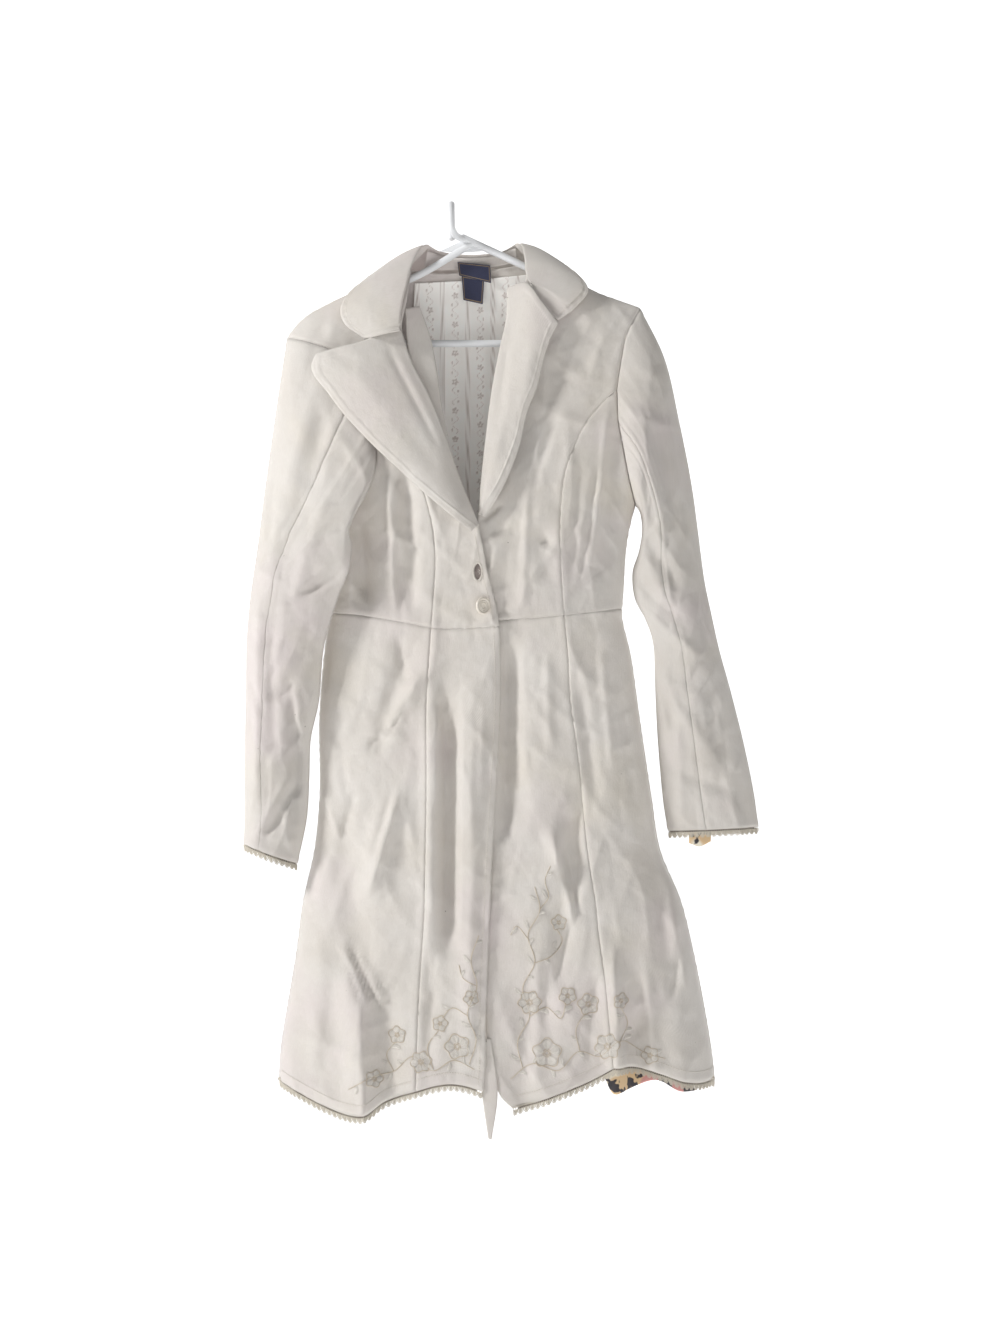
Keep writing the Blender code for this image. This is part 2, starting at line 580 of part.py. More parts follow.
def add_sleeve(side, rings, front_edge, back_edge, seam_front, seam_back):
    """Top sleeve round the outer edge, under sleeve round the inner edge."""
    front, back = sleeve(rings, front_edge, back_edge, SLEEVE_ROWS)
    ring = np.concatenate([front, back[:, -2:0:-1]], axis=1)
    run = ring[1] - ring[0]
    size = np.maximum(np.linalg.norm(run, axis=-1, keepdims=True), 1e-6)
    ring[0] += run / size * np.minimum(0.4 * size, ARMHOLE_GAP)
    count = ring.shape[1]
    wrapped = np.concatenate([ring[:, -1:], ring, ring[:, :1]], axis=1)
    normal = grid_normals(wrapped)[:, 1:-1]
    facing = 1.0 if side == "left" else -1.0
    under = np.arange(seam_front, count - seam_back + 1)
    top = np.arange(count - seam_back, count + seam_front + 1) % count
    for name, columns in (("top", top), ("under", under)):
        add_sheet(
            "sleeve_%s_%s" % (side, name), ring[:, columns], WALL, COTTON, facing, normal[:, columns],
            SLEEVE_TRIM)
    return np.concatenate([ring[-1], ring[-1, :1]])


cuff_right = add_sleeve(
    "right", SLEEVE_RIGHT, join(arm_right, arm_low_right), join(back_arm_right, back_arm_low_right), 4, 5)
cuff_left = add_sleeve(
    "left", SLEEVE_LEFT, join(arm_left, arm_low_left), join(back_arm_left, back_arm_low_left), 7, 5)


def on_front(points, lift, lap=0.0):
    """Front view x and z laid on the body's front, lifted off its face by lift."""
    points = np.asarray(points, float)
    place = turn(points.reshape(-1, 2))
    face = body(place[:, 0], place[:, 1], lap).reshape(points.shape[:-1] + (3,))
    face[..., 0] = points[..., 0]
    face[..., 1] -= lift
    return face


def flat_patch(top, bottom, near, far, across, down):
    """A grid in the front view between four lines of x and z."""
    u = np.linspace(0, 1, across)
    v = np.linspace(0, 1, down)
    return patch(along(top, u), along(bottom, u), along(near, v), along(far, v))


# The lapels: each is turned back along the roll line and lies on the front
def add_lapel(name, top, bottom, roll, edge, across, down, lift_roll, lift_mid, lift_edge, lap, facing):
    """A turned lapel: it springs up at the roll and settles towards its free edge."""
    flat = flat_patch(top, bottom, roll, edge, across, down)
    u = np.linspace(0, 1, across)[None, :]
    lift = lift_roll * (1 - u) ** 2 + lift_mid * 2 * u * (1 - u) + lift_edge * u ** 2
    fade = step_up((np.linspace(1, 0, down)[:, None]) / 0.12) * 0.65 + 0.35
    add_sheet(name, on_front(flat, lift * fade + WALL + 0.3, lap), WALL, COTTON, facing)


add_lapel(
    "lapel_right", [(-59, -156), (-102, -167), (-131, -170), (-158, -177)], [(33, -379), (24, -386)],
    [(-59, -156), (-46, -186), (-27, -223), (-6, -276), (11, -326), (33, -379)],
    [(-158, -177), (-163, -190), (-142, -226), (-92, -284), (-60, -314), (-25, -346), (24, -386)],
    8, 15, -1.6, 22.0, 15.0, 0.0, -1.0)
add_lapel(
    "lapel_left", [(66, -98), (87, -92), (106, -114), (126, -141)], [(33, -366), (40, -369)],
    [(66, -98), (65, -134), (58, -167), (50, -208), (41, -276), (36, -325), (33, -366)],
    [(126, -141), (116, -161), (109, -182), (100, -218), (89, -246), (80, -286), (60, -336), (40, -369)],
    8, 15, -0.6, 14.0, 9.0, LAP, 1.0)

# The facing that shows behind the roll of the right lapel
facing_grid = flat_patch(
    [(-54, -122), (-37, -118)], [(-6, -272), (-2, -274)], [(-54, -122), (-47, -186), (-28, -223), (-6, -272)],
    [(-37, -118), (-24, -156), (-17, -190), (-11, -232), (-2, -274)], 4, 9)
facing_depth = np.linspace(0.0, 8.0, 4)[None, :]
add_sheet("facing_right", on_front(facing_grid, -WALL - 1.0 - facing_depth), WALL, COTTON, -1.0)

# The collar: a stand that rises from the neck seam, and a leaf that falls from its top
COLLAR = namedtuple("Collar", "seam_x seam_y seam_z fold_x fold_y fold_z edge_x edge_y edge_z")
COLLAR_LINES = [
    COLLAR(-55, -33, -127, -59, -44, -151, -101, -42, -161),
    COLLAR(-53, -26, -108, -58, -42, -127, -125, -36, -142),
    COLLAR(-50, -18, -94, -52, -36, -97, -130, -30, -120),
    COLLAR(-46, -6, -82, -44, -24, -66, -116, -20, -98),
    COLLAR(-38, 8, -76, -32, -6, -44, -84, 8, -78),
    COLLAR(-16, 16, -75, -12, 9, -50, -46, 37, -92),
    COLLAR(20, 19, -73, 22, 14, -53, 22, 40, -106),
    COLLAR(56, 17, -70, 58, 10, -50, 86, 38, -88),
    COLLAR(84, 8, -66, 80, -4, -42, 118, 14, -62),
    COLLAR(94, -8, -70, 86, -18, -60, 148, -10, -78),
    COLLAR(94, -16, -82, 87, -24, -76, 162, -22, -100),
    COLLAR(92, -22, -90, 90, -28, -88, 146, -30, -122),
    COLLAR(96, -26, -96, 96, -32, -95, 126, -33, -137),
]
collar_at = np.linspace(0, 1, len(COLLAR_LINES))
collar_t = np.linspace(0, 1, COLLAR_COLUMNS)


def collar_line(part):
    """One of the collar's three lines as smooth points."""
    fields = [part + "_x", part + "_y", part + "_z"]
    columns = [list(zip(collar_at, [getattr(row, field) for row in COLLAR_LINES])) for field in fields]
    return np.stack([smooth(column, collar_t) for column in columns], -1)


def add_collar():
    """The stand and the leaf, with the leaf rounded where it falls from the fold."""
    neck, fold, edge = collar_line("seam"), collar_line("fold"), collar_line("edge")
    down = edge - fold
    v = np.linspace(0, 1, 7)[:, None, None]
    out = np.cross(np.gradient(fold, axis=0), down)
    out /= np.linalg.norm(out, axis=1, keepdims=True)
    out *= np.where(out[:, 1:2] * np.where(fold[:, 1:2] > 0, 1, -1) < 0, -1, 1)
    bulge = 5.0 * np.sin(math.pi * v) ** 0.8
    leaf = fold[None] + v * down[None] + bulge * out[None]
    add_sheet("collar_leaf", leaf, WALL, COTTON, 1.0)
    inside = np.array([CENTRE_X, 0, 0]) - fold
    inside[:, 2] = 0
    inside /= np.linalg.norm(inside, axis=1, keepdims=True)
    w = np.linspace(0.14, 1, 3)[:, None, None]
    stand = neck[None] + 0.73 * w * (fold - neck)[None] + (4.4 + w) * inside[None]
    add_sheet("collar_stand", stand[:, 8:-9], WALL, COTTON, 1.0)


add_collar()


def on_back(points, lift):
    """Front view x and z laid inside the back, that far in front of its outer face."""
    points = np.asarray(points, float)
    place = turn(points.reshape(-1, 2), True)
    face = body(place[:, 0], place[:, 1]).reshape(points.shape[:-1] + (3,))
    face[..., 0] = points[..., 0]
    face[..., 1] -= lift
    return face


# The printed lining of the upper back, which shows inside the neck opening
lining_flat = flat_patch(
    [(-44, -88), (CENTRE_X, -84), (90, -78)], [(-36, -400), (CENTRE_X, -402), (96, -400)],
    [(-44, -88), (-50, -240), (-36, -400)], [(90, -78), (104, -240), (96, -400)], 9, 12)
add_sheet("lining_back", on_back(lining_flat, WALL + 3.2), WALL, LINING, 1.0)

# Two woven labels on the neck of the lining
label_main = flat_patch(
    [(7, -63), (46, -67)], [(9, -79), (47, -88)], [(7, -63), (9, -79)], [(46, -67), (47, -88)], 4, 3)
label_size = flat_patch(
    [(13, -90), (38, -94)], [(14, -108), (37, -113)], [(13, -90), (14, -108)], [(38, -94), (37, -113)], 3, 3)


def add_label(name, flat, depth, wall):
    """A small woven label that stands just in front of the back of the neck."""
    grid = np.stack([flat[..., 0], np.full(flat.shape[:2], depth), flat[..., 1]], -1)
    add_sheet(name, grid, wall, LABEL, 1.0)


add_label("label_main", label_main, 8.1, 1.0)
add_label("label_size", label_size, 9.3, 1.0)


def lathe(name, profile, steps, made_of):
    """A closed round body about the z axis, from a profile of radius and height."""
    mesh = bmesh.new()
    rings = []
    for radius, height in profile:
        if radius < 1e-6:
            rings.append([mesh.verts.new((0, 0, height * MM))])
            continue
        ring = []
        for k in range(steps):
            a = 2 * math.pi * k / steps
            ring.append(mesh.verts.new((radius * math.cos(a) * MM, radius * math.sin(a) * MM, height * MM)))
        rings.append(ring)
    for low, high in zip(rings, rings[1:]):
        for k in range(steps):
            after = k + 1
            corners = [low[k % len(low)], low[after % len(low)], high[after % len(high)], high[k % len(high)]]
            distinct = list(dict.fromkeys(corners))
            if len(distinct) > 2:
                mesh.faces.new(distinct)
    bmesh.ops.recalc_face_normals(mesh, faces=mesh.faces)
    data = bpy.data.meshes.new(name)
    mesh.to_mesh(data)
    mesh.free()
    data.materials.append(made_of)
    obj = bpy.data.objects.new(name, data)
    bpy.context.collection.objects.link(obj)
    return obj


# The lower button, with a raised rim, turned on its shank as it hangs
button = lathe(
    "button_lower",
    [(0, -6.0), (1.8, -6.0), (1.8, -2.2), (BUTTON_RADIUS - 1.2, -2.0), (BUTTON_RADIUS, -1.0),
     (BUTTON_RADIUS, 0.6), (BUTTON_RADIUS - 1.0, 1.5), (BUTTON_RADIUS - 2.6, 1.6), (BUTTON_RADIUS - 3.6, 0.8),
     (3.0, 0.7), (0, 0.5)],
    20, HORN)
button_face = on_front(np.array([[BUTTON_AT]]), 0.0)[0, 0]
button.rotation_euler = (math.pi / 2, 0, BUTTON_TURN)
button.location = Vector((BUTTON_AT[0], button_face[1] - BUTTON_LIFT, BUTTON_AT[1])) * MM

# The worked buttonhole above it gapes open, cut right through the front
eye = []
for k in range(12):
    turn_by = 2 * math.pi * k / 12
    wide = BUTTONHOLE[0] / 2 * math.sin(turn_by) * abs(math.sin(turn_by)) ** 0.3
    eye.append((wide, BUTTONHOLE[1] / 2 * math.cos(turn_by)))
hole_points = []
for depth in (-90.0, -20.0):
    hole_points += [np.array([BUTTONHOLE_AT[0] + x, depth, BUTTONHOLE_AT[1] + z]) for x, z in eye]
hole_faces = [tuple(range(12)), tuple(range(23, 11, -1))]
hole_faces += [((k + 1) % 12, k, 12 + k, 12 + (k + 1) % 12) for k in range(12)]
if signed_volume(hole_points, hole_faces) < 0:
    hole_faces = [face[::-1] for face in hole_faces]
cutter = add_mesh("buttonhole_cutter", hole_points, hole_faces, COTTON)
cutter.hide_render = True
cutter.display_type = "WIRE"
cut = bpy.data.objects["bodice_front_right"].modifiers.new("buttonhole", "BOOLEAN")
cut.operation = "DIFFERENCE"
cut.object = cutter

# Crochet lace along the hem and the cuffs: a strip with a scalloped lower edge

def add_lace(name, edge, inside, drop=LACE_DROP):
    """Lace that hangs from the edge of a hem, given as points, with the wall on its inner side."""
    length = float(np.linalg.norm(np.diff(edge, axis=0), axis=1).sum())
    scallops = max(2, round(length / SCALLOP_PITCH))
    t = np.linspace(0.006, 0.994, scallops * 2 + 1)
    line = along(edge, t)
    depth = LACE_DEPTH - SCALLOP * (np.arange(len(t)) % 2 == 0)
    down = np.array([0.0, 0.0, -1.0])
    across = np.gradient(along(edge, t), axis=0)
    normal = np.cross(across, down)
    normal /= np.linalg.norm(normal, axis=1, keepdims=True)
    normal *= inside
    line = line + LACE_BEHIND * normal
    top = line + drop * down
    bottom = line + depth[:, None] * down
    outer = np.stack([top, bottom])
    add_wall(name, outer, outer + THIN_WALL * normal[None], LACE)


def hem_points(*lines):
    """Points of the body's face along hem seams."""
    place = join(*lines)
    return body(place[:, 0], place[:, 1])


add_lace("hem_lace_right", hem_points(hem_side_right, hem_front_right), 1.0, LACE_DROP_RIGHT)
add_lace("hem_lace_left", hem_points(hem_front_left, hem_side_left), 1.0, LACE_DROP_LEFT)
add_lace("cuff_lace_right", cuff_right, 1.0)
add_lace("cuff_lace_left", cuff_left, -1.0)
hem_back_line = join(
    seam(HEM_SIDE_BACK_RIGHT, side_back, True), seam(HEM_BACK_RIGHT, back + 4, True),
    seam(HEM_BACK_LEFT, back + 4, True), seam(HEM_SIDE_BACK_LEFT, side_back, True))
add_lace("hem_lace_back", body(hem_back_line[:, 0], hem_back_line[:, 1]), -1.0)


# The printed lining that peeks out below the left hem and the left cuff
hem_lining = flat_patch(
    [(176, -962), (230, -966), (270, -970)],
    [(178, -1020), (190, -1040), (208, -1036), (240, -1026), (270, -1040), (286, -1040)],
    [(176, -962), (178, -1020)], [(270, -970), (286, -1040)], 9, 4)
hem_depth = np.linspace(3.6, 8.0, 4)[:, None]
add_sheet("hem_lining_left", on_front(hem_lining, -WALL - hem_depth), THIN_WALL, LINING, -1.0)
cuff_lining = flat_patch(
    [(280, -700), (308, -700)], [(280, -752), (292, -756), (306, -750)], [(280, -700), (280, -752)],
    [(308, -700), (306, -750)], 5, 3)
cuff_lining = np.stack([cuff_lining[..., 0], np.full(cuff_lining.shape[:2], -24.6), cuff_lining[..., 1]], -1)
add_sheet("cuff_lining_left", cuff_lining, THIN_WALL, LINING, -1.0)

# The end of the right front facing, which has twisted out below the front edge
facing_tip = flat_patch(
    [(35, -975), (47, -975)], [(44, -1090), (48, -1091)], [(35, -975), (37, -1040), (44, -1090)],
    [(47, -975), (55, -1040), (48, -1091)], 3, 9)
add_sheet("front_facing_tip", on_front(facing_tip, -2.5), THIN_WALL, COTTON, -1.0)


def tube(name, path, radius, aside, made_of, sides=10):
    """A round bar along a smooth path that lies square to the direction aside, with flat ends."""
    path = np.array(path, float)
    run = np.gradient(path, axis=0)
    run /= np.linalg.norm(run, axis=1, keepdims=True)
    first = np.cross(run, np.array(aside, float))
    first /= np.linalg.norm(first, axis=1, keepdims=True)
    second = np.cross(run, first)
    angle = np.arange(sides) * 2 * math.pi / sides
    rings = path[:, None] + radius * (
        np.cos(angle)[None, :, None] * first[:, None] + np.sin(angle)[None, :, None] * second[:, None])
    points = rings.reshape(-1, 3)
    count = len(path)
    faces = []
    for r in range(count - 1):
        for c in range(sides):
            after = (c + 1) % sides
            faces.append((r * sides + c, r * sides + after, (r + 1) * sides + after, (r + 1) * sides + c))
    faces.append(tuple(range(sides))[::-1])
    faces.append(tuple(range((count - 1) * sides, count * sides)))
    if signed_volume(points, faces) < 0:
        faces = [face[::-1] for face in faces]
    return add_mesh(name, points, faces, made_of)


def unite(target, tool):
    """Fuse a second body into the first, which leaves the tool as a hidden guide."""
    fuse = target.modifiers.new("fuse " + tool.name, "BOOLEAN")
    fuse.operation = "UNION"
    fuse.object = tool
    tool.hide_render = True
    tool.display_type = "WIRE"


# The hanger: a hook that curls back over the rail, two sloping arms, and a straight bar below
hook_radius = HOOK_INSIDE + HOOK_BAR
hook_bends = np.radians(np.linspace(-40, 180, 14))
hook_path = [(0, hook_radius * math.cos(b), -HOOK_INSIDE + hook_radius * math.sin(b)) for b in hook_bends]
hook_path += [(1, -22, -27), (4, -16, -33), (9, -7, -36), (15, 0, -37)]


def arm_path(start, knee, end_x):
    """One arm: straight from the apex, then just under the shoulder seam to its end."""
    x = np.linspace(knee[0], end_x, 9)
    under = [(float(a), HANGER_Y, float(smooth(SHOULDER, a)) - HANG_DROP) for a in x]
    way = math.copysign(1.0, end_x)
    last = under[-1]
    turned = [(last[0] + way * 4, HANGER_Y, last[2] - 4), (last[0] + way * 5, HANGER_Y, last[2] - 9)]
    turned += [(last[0] + way * 5, HANGER_Y, last[2] - 10), (last[0] + way * 5, HANGER_Y, last[2] - 11)]
    return [(start[0], 0, start[1])] + under + turned


arm_right = arm_path((27, -41), (-52, 0), -166)
arm_left = arm_path((13, -35), (106, 0), 203)
hanger = tube("hanger_frame", arm_left, HANGER_RADIUS, (0, 1, 0), PLASTIC)
unite(hanger, tube("hanger_second_arm", arm_right, HANGER_RADIUS - 0.1, (0, 1, 0), PLASTIC))
unite(hanger, tube("hanger_hook", hook_path, HOOK_BAR, (1, 0, 0), PLASTIC))
right_end = arm_right[-1]
left_end = arm_left[-1]
bar_path = [(right_end[0], HANGER_Y, right_end[2] - drop) for drop in (0.35, 1.5, 3.0)]
bar_path += [(right_end[0] + 3, HANGER_Y, BAR_HEIGHT + 4), (right_end[0] + 9, HANGER_Y, BAR_HEIGHT)]
bar_path += [(float(x), HANGER_Y, BAR_HEIGHT) for x in np.linspace(right_end[0] + 20, left_end[0] - 20, 6)]
bar_path += [(left_end[0] - 9, HANGER_Y, BAR_HEIGHT + 1), (left_end[0] - 3, HANGER_Y, BAR_HEIGHT + 5)]
bar_path += [(left_end[0], HANGER_Y, left_end[2] - drop) for drop in (3.0, 1.5, 0.35)]
tube("hanger_bar", bar_path, HANGER_RADIUS, (0, 1, 0), PLASTIC)
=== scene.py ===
import math
from collections import namedtuple

import bpy
import numpy as np
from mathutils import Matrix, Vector


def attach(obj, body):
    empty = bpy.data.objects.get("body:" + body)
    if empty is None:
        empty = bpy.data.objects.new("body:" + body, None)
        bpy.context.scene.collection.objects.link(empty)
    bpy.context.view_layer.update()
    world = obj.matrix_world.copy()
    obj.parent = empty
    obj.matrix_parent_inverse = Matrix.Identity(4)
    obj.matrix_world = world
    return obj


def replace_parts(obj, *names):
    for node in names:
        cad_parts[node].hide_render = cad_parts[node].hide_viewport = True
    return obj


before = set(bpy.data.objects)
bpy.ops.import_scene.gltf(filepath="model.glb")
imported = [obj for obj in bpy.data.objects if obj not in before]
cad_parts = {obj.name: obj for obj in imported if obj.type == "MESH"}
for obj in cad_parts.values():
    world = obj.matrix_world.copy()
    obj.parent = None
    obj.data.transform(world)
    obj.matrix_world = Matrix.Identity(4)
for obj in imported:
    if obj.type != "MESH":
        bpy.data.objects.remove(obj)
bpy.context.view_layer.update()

# The body of the coat. The real piece is cream cotton twill cut in sixteen panels, eight
# above the waist seam and eight gores below it. They are joined by plain pressed seams.
# The tables and the surface are the coat's own sizes in millimetres, seen from the front.
MM = 0.001
WALL = 1.8
SHOULDER_ROUND = 45.0
FRONT_FLATNESS = 0.62
CENTRE_X = 23.0
AT_SIDE_SEAM = 0.99
LAP = 5.0

Row = namedtuple("Row", "z left right front back")

BODY = [
    Row(-50, -205, 236, 20, 16), Row(-150, -200, 232, 32, 26), Row(-250, -172, 232, 44, 34),
    Row(-340, -138, 221, 50, 38), Row(-395, -134, 209, 50, 38), Row(-440, -141, 205, 49, 37),
    Row(-485, -146, 203, 48, 36), Row(-525, -151, 212, 50, 38), Row(-600, -157, 223, 56, 44),
    Row(-700, -157, 238, 64, 50), Row(-761, -163, 248, 68, 54), Row(-820, -176, 272, 72, 58),
    Row(-880, -184, 287, 76, 60), Row(-940, -194, 299, 80, 62), Row(-1000, -203, 309, 86, 64),
    Row(-1080, -205, 316, 92, 68),
]
# A fold: x and z where it starts, x and z where it ends, its width, its height (a trough below zero)
FRONT_FOLDS = [
    (-70, -320, -62, -420, 12, 7), (-54, -310, -46, -470, 10, -8), (-90, -380, -105, -470, 16, -6),
    (128, -170, 80, -300, 18, -6), (198, -240, 176, -430, 14, -5), (106, -380, 112, -440, 10, -4),
    (0, -560, -2, -870, 13, -11), (-22, -560, -20, -880, 10, 6), (24, -560, 22, -980, 12, 7),
    (-45, -505, -82, -630, 12, -6), (-34, -555, -80, -625, 10, 5), (-60, -690, -95, -810, 14, 8),
    (-130, -720, -100, -900, 20, -7), (-118, -885, -100, -1080, 16, 12), (-75, -900, -68, -1080, 18, -9),
    (75, -510, 72, -740, 16, -10), (115, -730, 142, -840, 13, 9), (150, -680, 124, -910, 15, -8),
    (187, -865, 197, -1080, 13, 11), (212, -940, 216, -1080, 16, -10), (262, -820, 275, -1060, 24, 8),
    (92, -900, 84, -1080, 20, -7),
]
BACK_FOLDS = [
    (-70, -300, -50, -470, 20, -5), (120, -290, 100, -470, 20, -5), (-90, -560, -120, -1080, 26, 13),
    (-30, -600, -40, -1080, 24, -10), (23, -620, 30, -1080, 22, 11), (90, -590, 110, -1080, 26, -11),
    (150, -560, 190, -1080, 28, 13),
]
# Small creases, where the cloth was pressed, pulled or crushed; their heights are times CREASE_HEIGHT
CREASE_HEIGHT = 1.9
FRONT_CREASES = [
    (-62, -392, -58, -478, 4, -2.0), (-74, -330, -66, -470, 4, 1.6), (-84, -384, -40, -402, 5, 1.4),
    (-106, -372, -96, -476, 5, -2.2), (-120, -372, -118, -474, 4, 1.5), (38, -373, 58, -354, 4, -2.0),
    (44, -396, 70, -388, 4, 1.4), (106, -395, 116, -402, 4, -1.8), (104, -402, 120, -409, 4, 1.6),
    (186, -232, 166, -420, 5, 1.8), (150, -300, 142, -440, 5, -1.4), (174, -300, 152, -440, 4, -1.6),
    (120, -250, 96, -330, 6, -2.0), (90, -330, 84, -470, 5, 1.4), (-34, -552, -78, -624, 4, 3.0),
    (-40, -562, -84, -640, 4, -2.4), (-46, -626, -98, -622, 4, 1.8), (-72, -610, -96, -640, 4, -2.0),
    (-152, -690, -130, -744, 5, 2.0), (-110, -690, -128, -746, 5, -1.6), (-60, -684, -94, -806, 4, 2.2),
    (-68, -690, -104, -800, 5, -2.0), (-128, -865, -96, -935, 4, 2.6), (-118, -868, -84, -940, 4, -2.6),
    (-106, -880, -78, -932, 4, 2.0), (-120, -885, -104, -928, 4, -2.0), (-104, -928, -100, -1066, 4, 2.0),
    (-9, -556, -8, -850, 4, -2.4), (-16, -590, -16, -700, 3.5, 1.6), (14, -580, 12, -860, 4, 1.6),
    (38, -590, 36, -700, 5, 1.2), (64, -510, 62, -730, 5, -1.8), (84, -520, 86, -680, 5, 1.4),
    (116, -732, 143, -838, 4, 2.0), (126, -730, 150, -830, 4, -1.6), (151, -678, 145, -840, 4, -2.0),
    (140, -840, 122, -910, 4, -1.8), (188, -864, 198, -1010, 4, 2.4), (198, -868, 206, -1010, 4, -1.8),
    (258, -820, 282, -940, 5, 2.0), (282, -824, 256, -930, 5, -1.8), (230, -880, 236, -1010, 6, 1.6),
    (170, -900, 160, -1000, 6, -1.4), (104, -860, 98, -1030, 6, 1.4), (-150, -560, -128, -640, 6, 1.6),
    (-136, -600, -120, -700, 6, -1.4), (176, -520, 190, -660, 6, 1.5), (196, -560, 214, -700, 6, -1.5),
    (112, -520, 116, -640, 6, 1.2), (-62, -508, -54, -560, 5, -1.5), (-112, -366, -100, -462, 15, -5.0),
    (-6, -560, -4, -850, 8, -2.6), (66, -510, 64, -740, 9, -2.4), (138, -700, 132, -830, 8, -2.2),
    (-78, -700, -104, -810, 8, 2.2), (150, -560, 170, -700, 9, -2.0), (-20, -860, -26, -1010, 8, -2.0),
    (224, -700, 262, -930, 9, -2.2), (-150, -860, -160, -1010, 9, 2.0), (110, -880, 116, -1020, 8, -1.8),
]
BACK_CREASES = [
    (-60, -320, -44, -460, 5, -1.8), (106, -310, 92, -460, 5, -1.8), (-20, -380, 30, -392, 5, 1.6),
    (10, -404, 64, -398, 5, -1.6), (-80, -570, -104, -760, 5, 2.0), (60, -560, 70, -730, 5, -2.0),
    (140, -560, 176, -760, 5, 2.0), (-10, -640, -4, -900, 5, 1.8), (-120, -700, -146, -960, 6, -2.0),
    (120, -760, 136, -1000, 6, 1.8), (200, -700, 240, -980, 6, -2.0), (-60, -860, -64, -1010, 5, 1.8),
    (-110, -200, -60, -240, 6, 1.6), (170, -190, 120, -235, 6, 1.6), (-90, -360, -108, -460, 5, 1.6),
    (150, -350, 166, -450, 5, 1.6), (-84, -540, -120, -900, 9, 2.6), (20, -560, 10, -940, 9, -2.4),
    (74, -600, 104, -960, 9, 2.4), (176, -560, 222, -900, 9, -2.6), (-30, -860, -44, -1010, 8, -2.2),
    (-130, -560, -166, -820, 9, -2.4), (-70, -310, -34, -470, 9, 2.4), (120, -300, 86, -470, 9, 2.4),
]
SHOULDER = [
    (-205, -166), (-195, -154), (-184, -139), (-172, -128), (-153, -117), (-129, -105),
    (-106, -95), (-77, -84), (-48, -73), (23, -62), (96, -63), (120, -74), (150, -88),
    (175, -101), (200, -110), (224, -119), (236, -130),
]

# Seam lines in the front view, from the top down
ROLL_RIGHT = [
    (-48, -73), (-52, -110), (-58, -150), (-45, -186), (-26, -223), (-5, -276), (12, -326), (32, -376)]
EDGE_RIGHT = [(32, -376), (37, -400), (43, -433), (50, -460), (55, -484), (57, -497)]
EDGE_SKIRT_RIGHT = [
    (57, -498), (59, -560), (57, -627), (53, -694), (49, -761), (46, -827), (43, -893), (41, -958),
    (40, -1018), (38, -1036)]
ROLL_LEFT = [
    (96, -63), (86, -90), (72, -120), (64, -150), (57, -186), (50, -233), (42, -286), (36, -332), (30, -372)]
EDGE_LEFT = [(30, -372), (16, -400), (14, -440), (14, -497)]
EDGE_SKIRT_LEFT = [
    (14, -498), (18, -600), (24, -700), (32, -820), (37, -890), (40, -950), (48, -1010), (60, -1044),
    (72, -1056)]
ARMHOLE_RIGHT = [(-195, -154), (-163, -163), (-133, -176), (-112, -203), (-97, -236)]
ARMHOLE_RIGHT_LOW = [(-97, -236), (-89, -273), (-89, -307), (-101, -338), (-134, -366)]
ARMHOLE_LEFT = [(224, -119), (207, -153), (199, -191), (195, -218)]
ARMHOLE_LEFT_LOW = [(195, -218), (197, -255), (202, -283), (208, -315), (217, -352)]
PRINCESS_RIGHT = [
    (-97, -236), (-66, -270), (-44, -306), (-30, -345), (-20, -389), (-18, -420), (-20, -460), (-23, -499)]
PRINCESS_LEFT = [
    (195, -218), (180, -232), (160, -256), (145, -285), (134, -316), (130, -345), (128, -377), (129, -423),
    (133, -484)]
PRINCESS_SKIRT_RIGHT = [
    (-24, -500), (-29, -583), (-29, -695), (-30, -773), (-31, -829), (-34, -884), (-37, -934), (-40, -1036)]
PRINCESS_SKIRT_LEFT = [
    (134, -485), (138, -526), (141, -583), (150, -651), (156, -719), (161, -764), (169, -815), (173, -854),
    (180, -910), (185, -966), (189, -1009)]
WAIST_RIGHT_SIDE = [(-146, -481), (-112, -483), (-70, -490), (-23, -499)]
WAIST_RIGHT_FRONT = [(-23, -499), (0, -500), (30, -499), (57, -497)]
WAIST_LEFT_FRONT = [(14, -497), (58, -490), (104, -487), (133, -484)]
WAIST_LEFT_SIDE = [(133, -484), (150, -482), (175, -479), (203, -475)]
HEM_RIGHT_SIDE = [
    (-204, -1029), (-180, -1040), (-150, -1054), (-118, -1064), (-100, -1064), (-78, -1050), (-56, -1041),
    (-40, -1036)]
HEM_RIGHT_FRONT = [(-40, -1036), (-20, -1030), (0, -1027), (20, -1030), (38, -1036)]
HEM_LEFT_FRONT = [(72, -1056), (100, -1048), (130, -1037), (160, -1025), (176, -1017), (189, -1009)]
HEM_LEFT_SIDE = [(189, -1009), (215, -1010), (245, -1018), (275, -1028), (300, -1030), (313, -1027)]
SHOULDER_SEAM_RIGHT = [
    (-195, -154), (-184, -139), (-172, -128), (-153, -117), (-129, -105), (-106, -95), (-77, -84), (-48, -73)]
SHOULDER_SEAM_LEFT = [(96, -63), (120, -74), (150, -88), (175, -101), (200, -110), (224, -119)]
SIDE_BODICE_RIGHT = [(-134, -366), (-134, -395), (-141, -440), (-146, -481)]
SIDE_BODICE_LEFT = [(217, -352), (209, -395), (205, -440), (203, -475)]
SIDE_SKIRT_RIGHT = [
    (-146, -482), (-151, -525), (-157, -600), (-157, -700), (-163, -761), (-176, -820), (-184, -880),
    (-194, -940), (-203, -1000), (-204, -1029)]
SIDE_SKIRT_LEFT = [
    (203, -476), (212, -525), (223, -600), (238, -700), (248, -761), (272, -820), (287, -880), (299, -940),
    (309, -1000), (313, -1027)]
BACK_NECK_RIGHT = [(-48, -73), (-20, -76), (CENTRE_X, -74)]
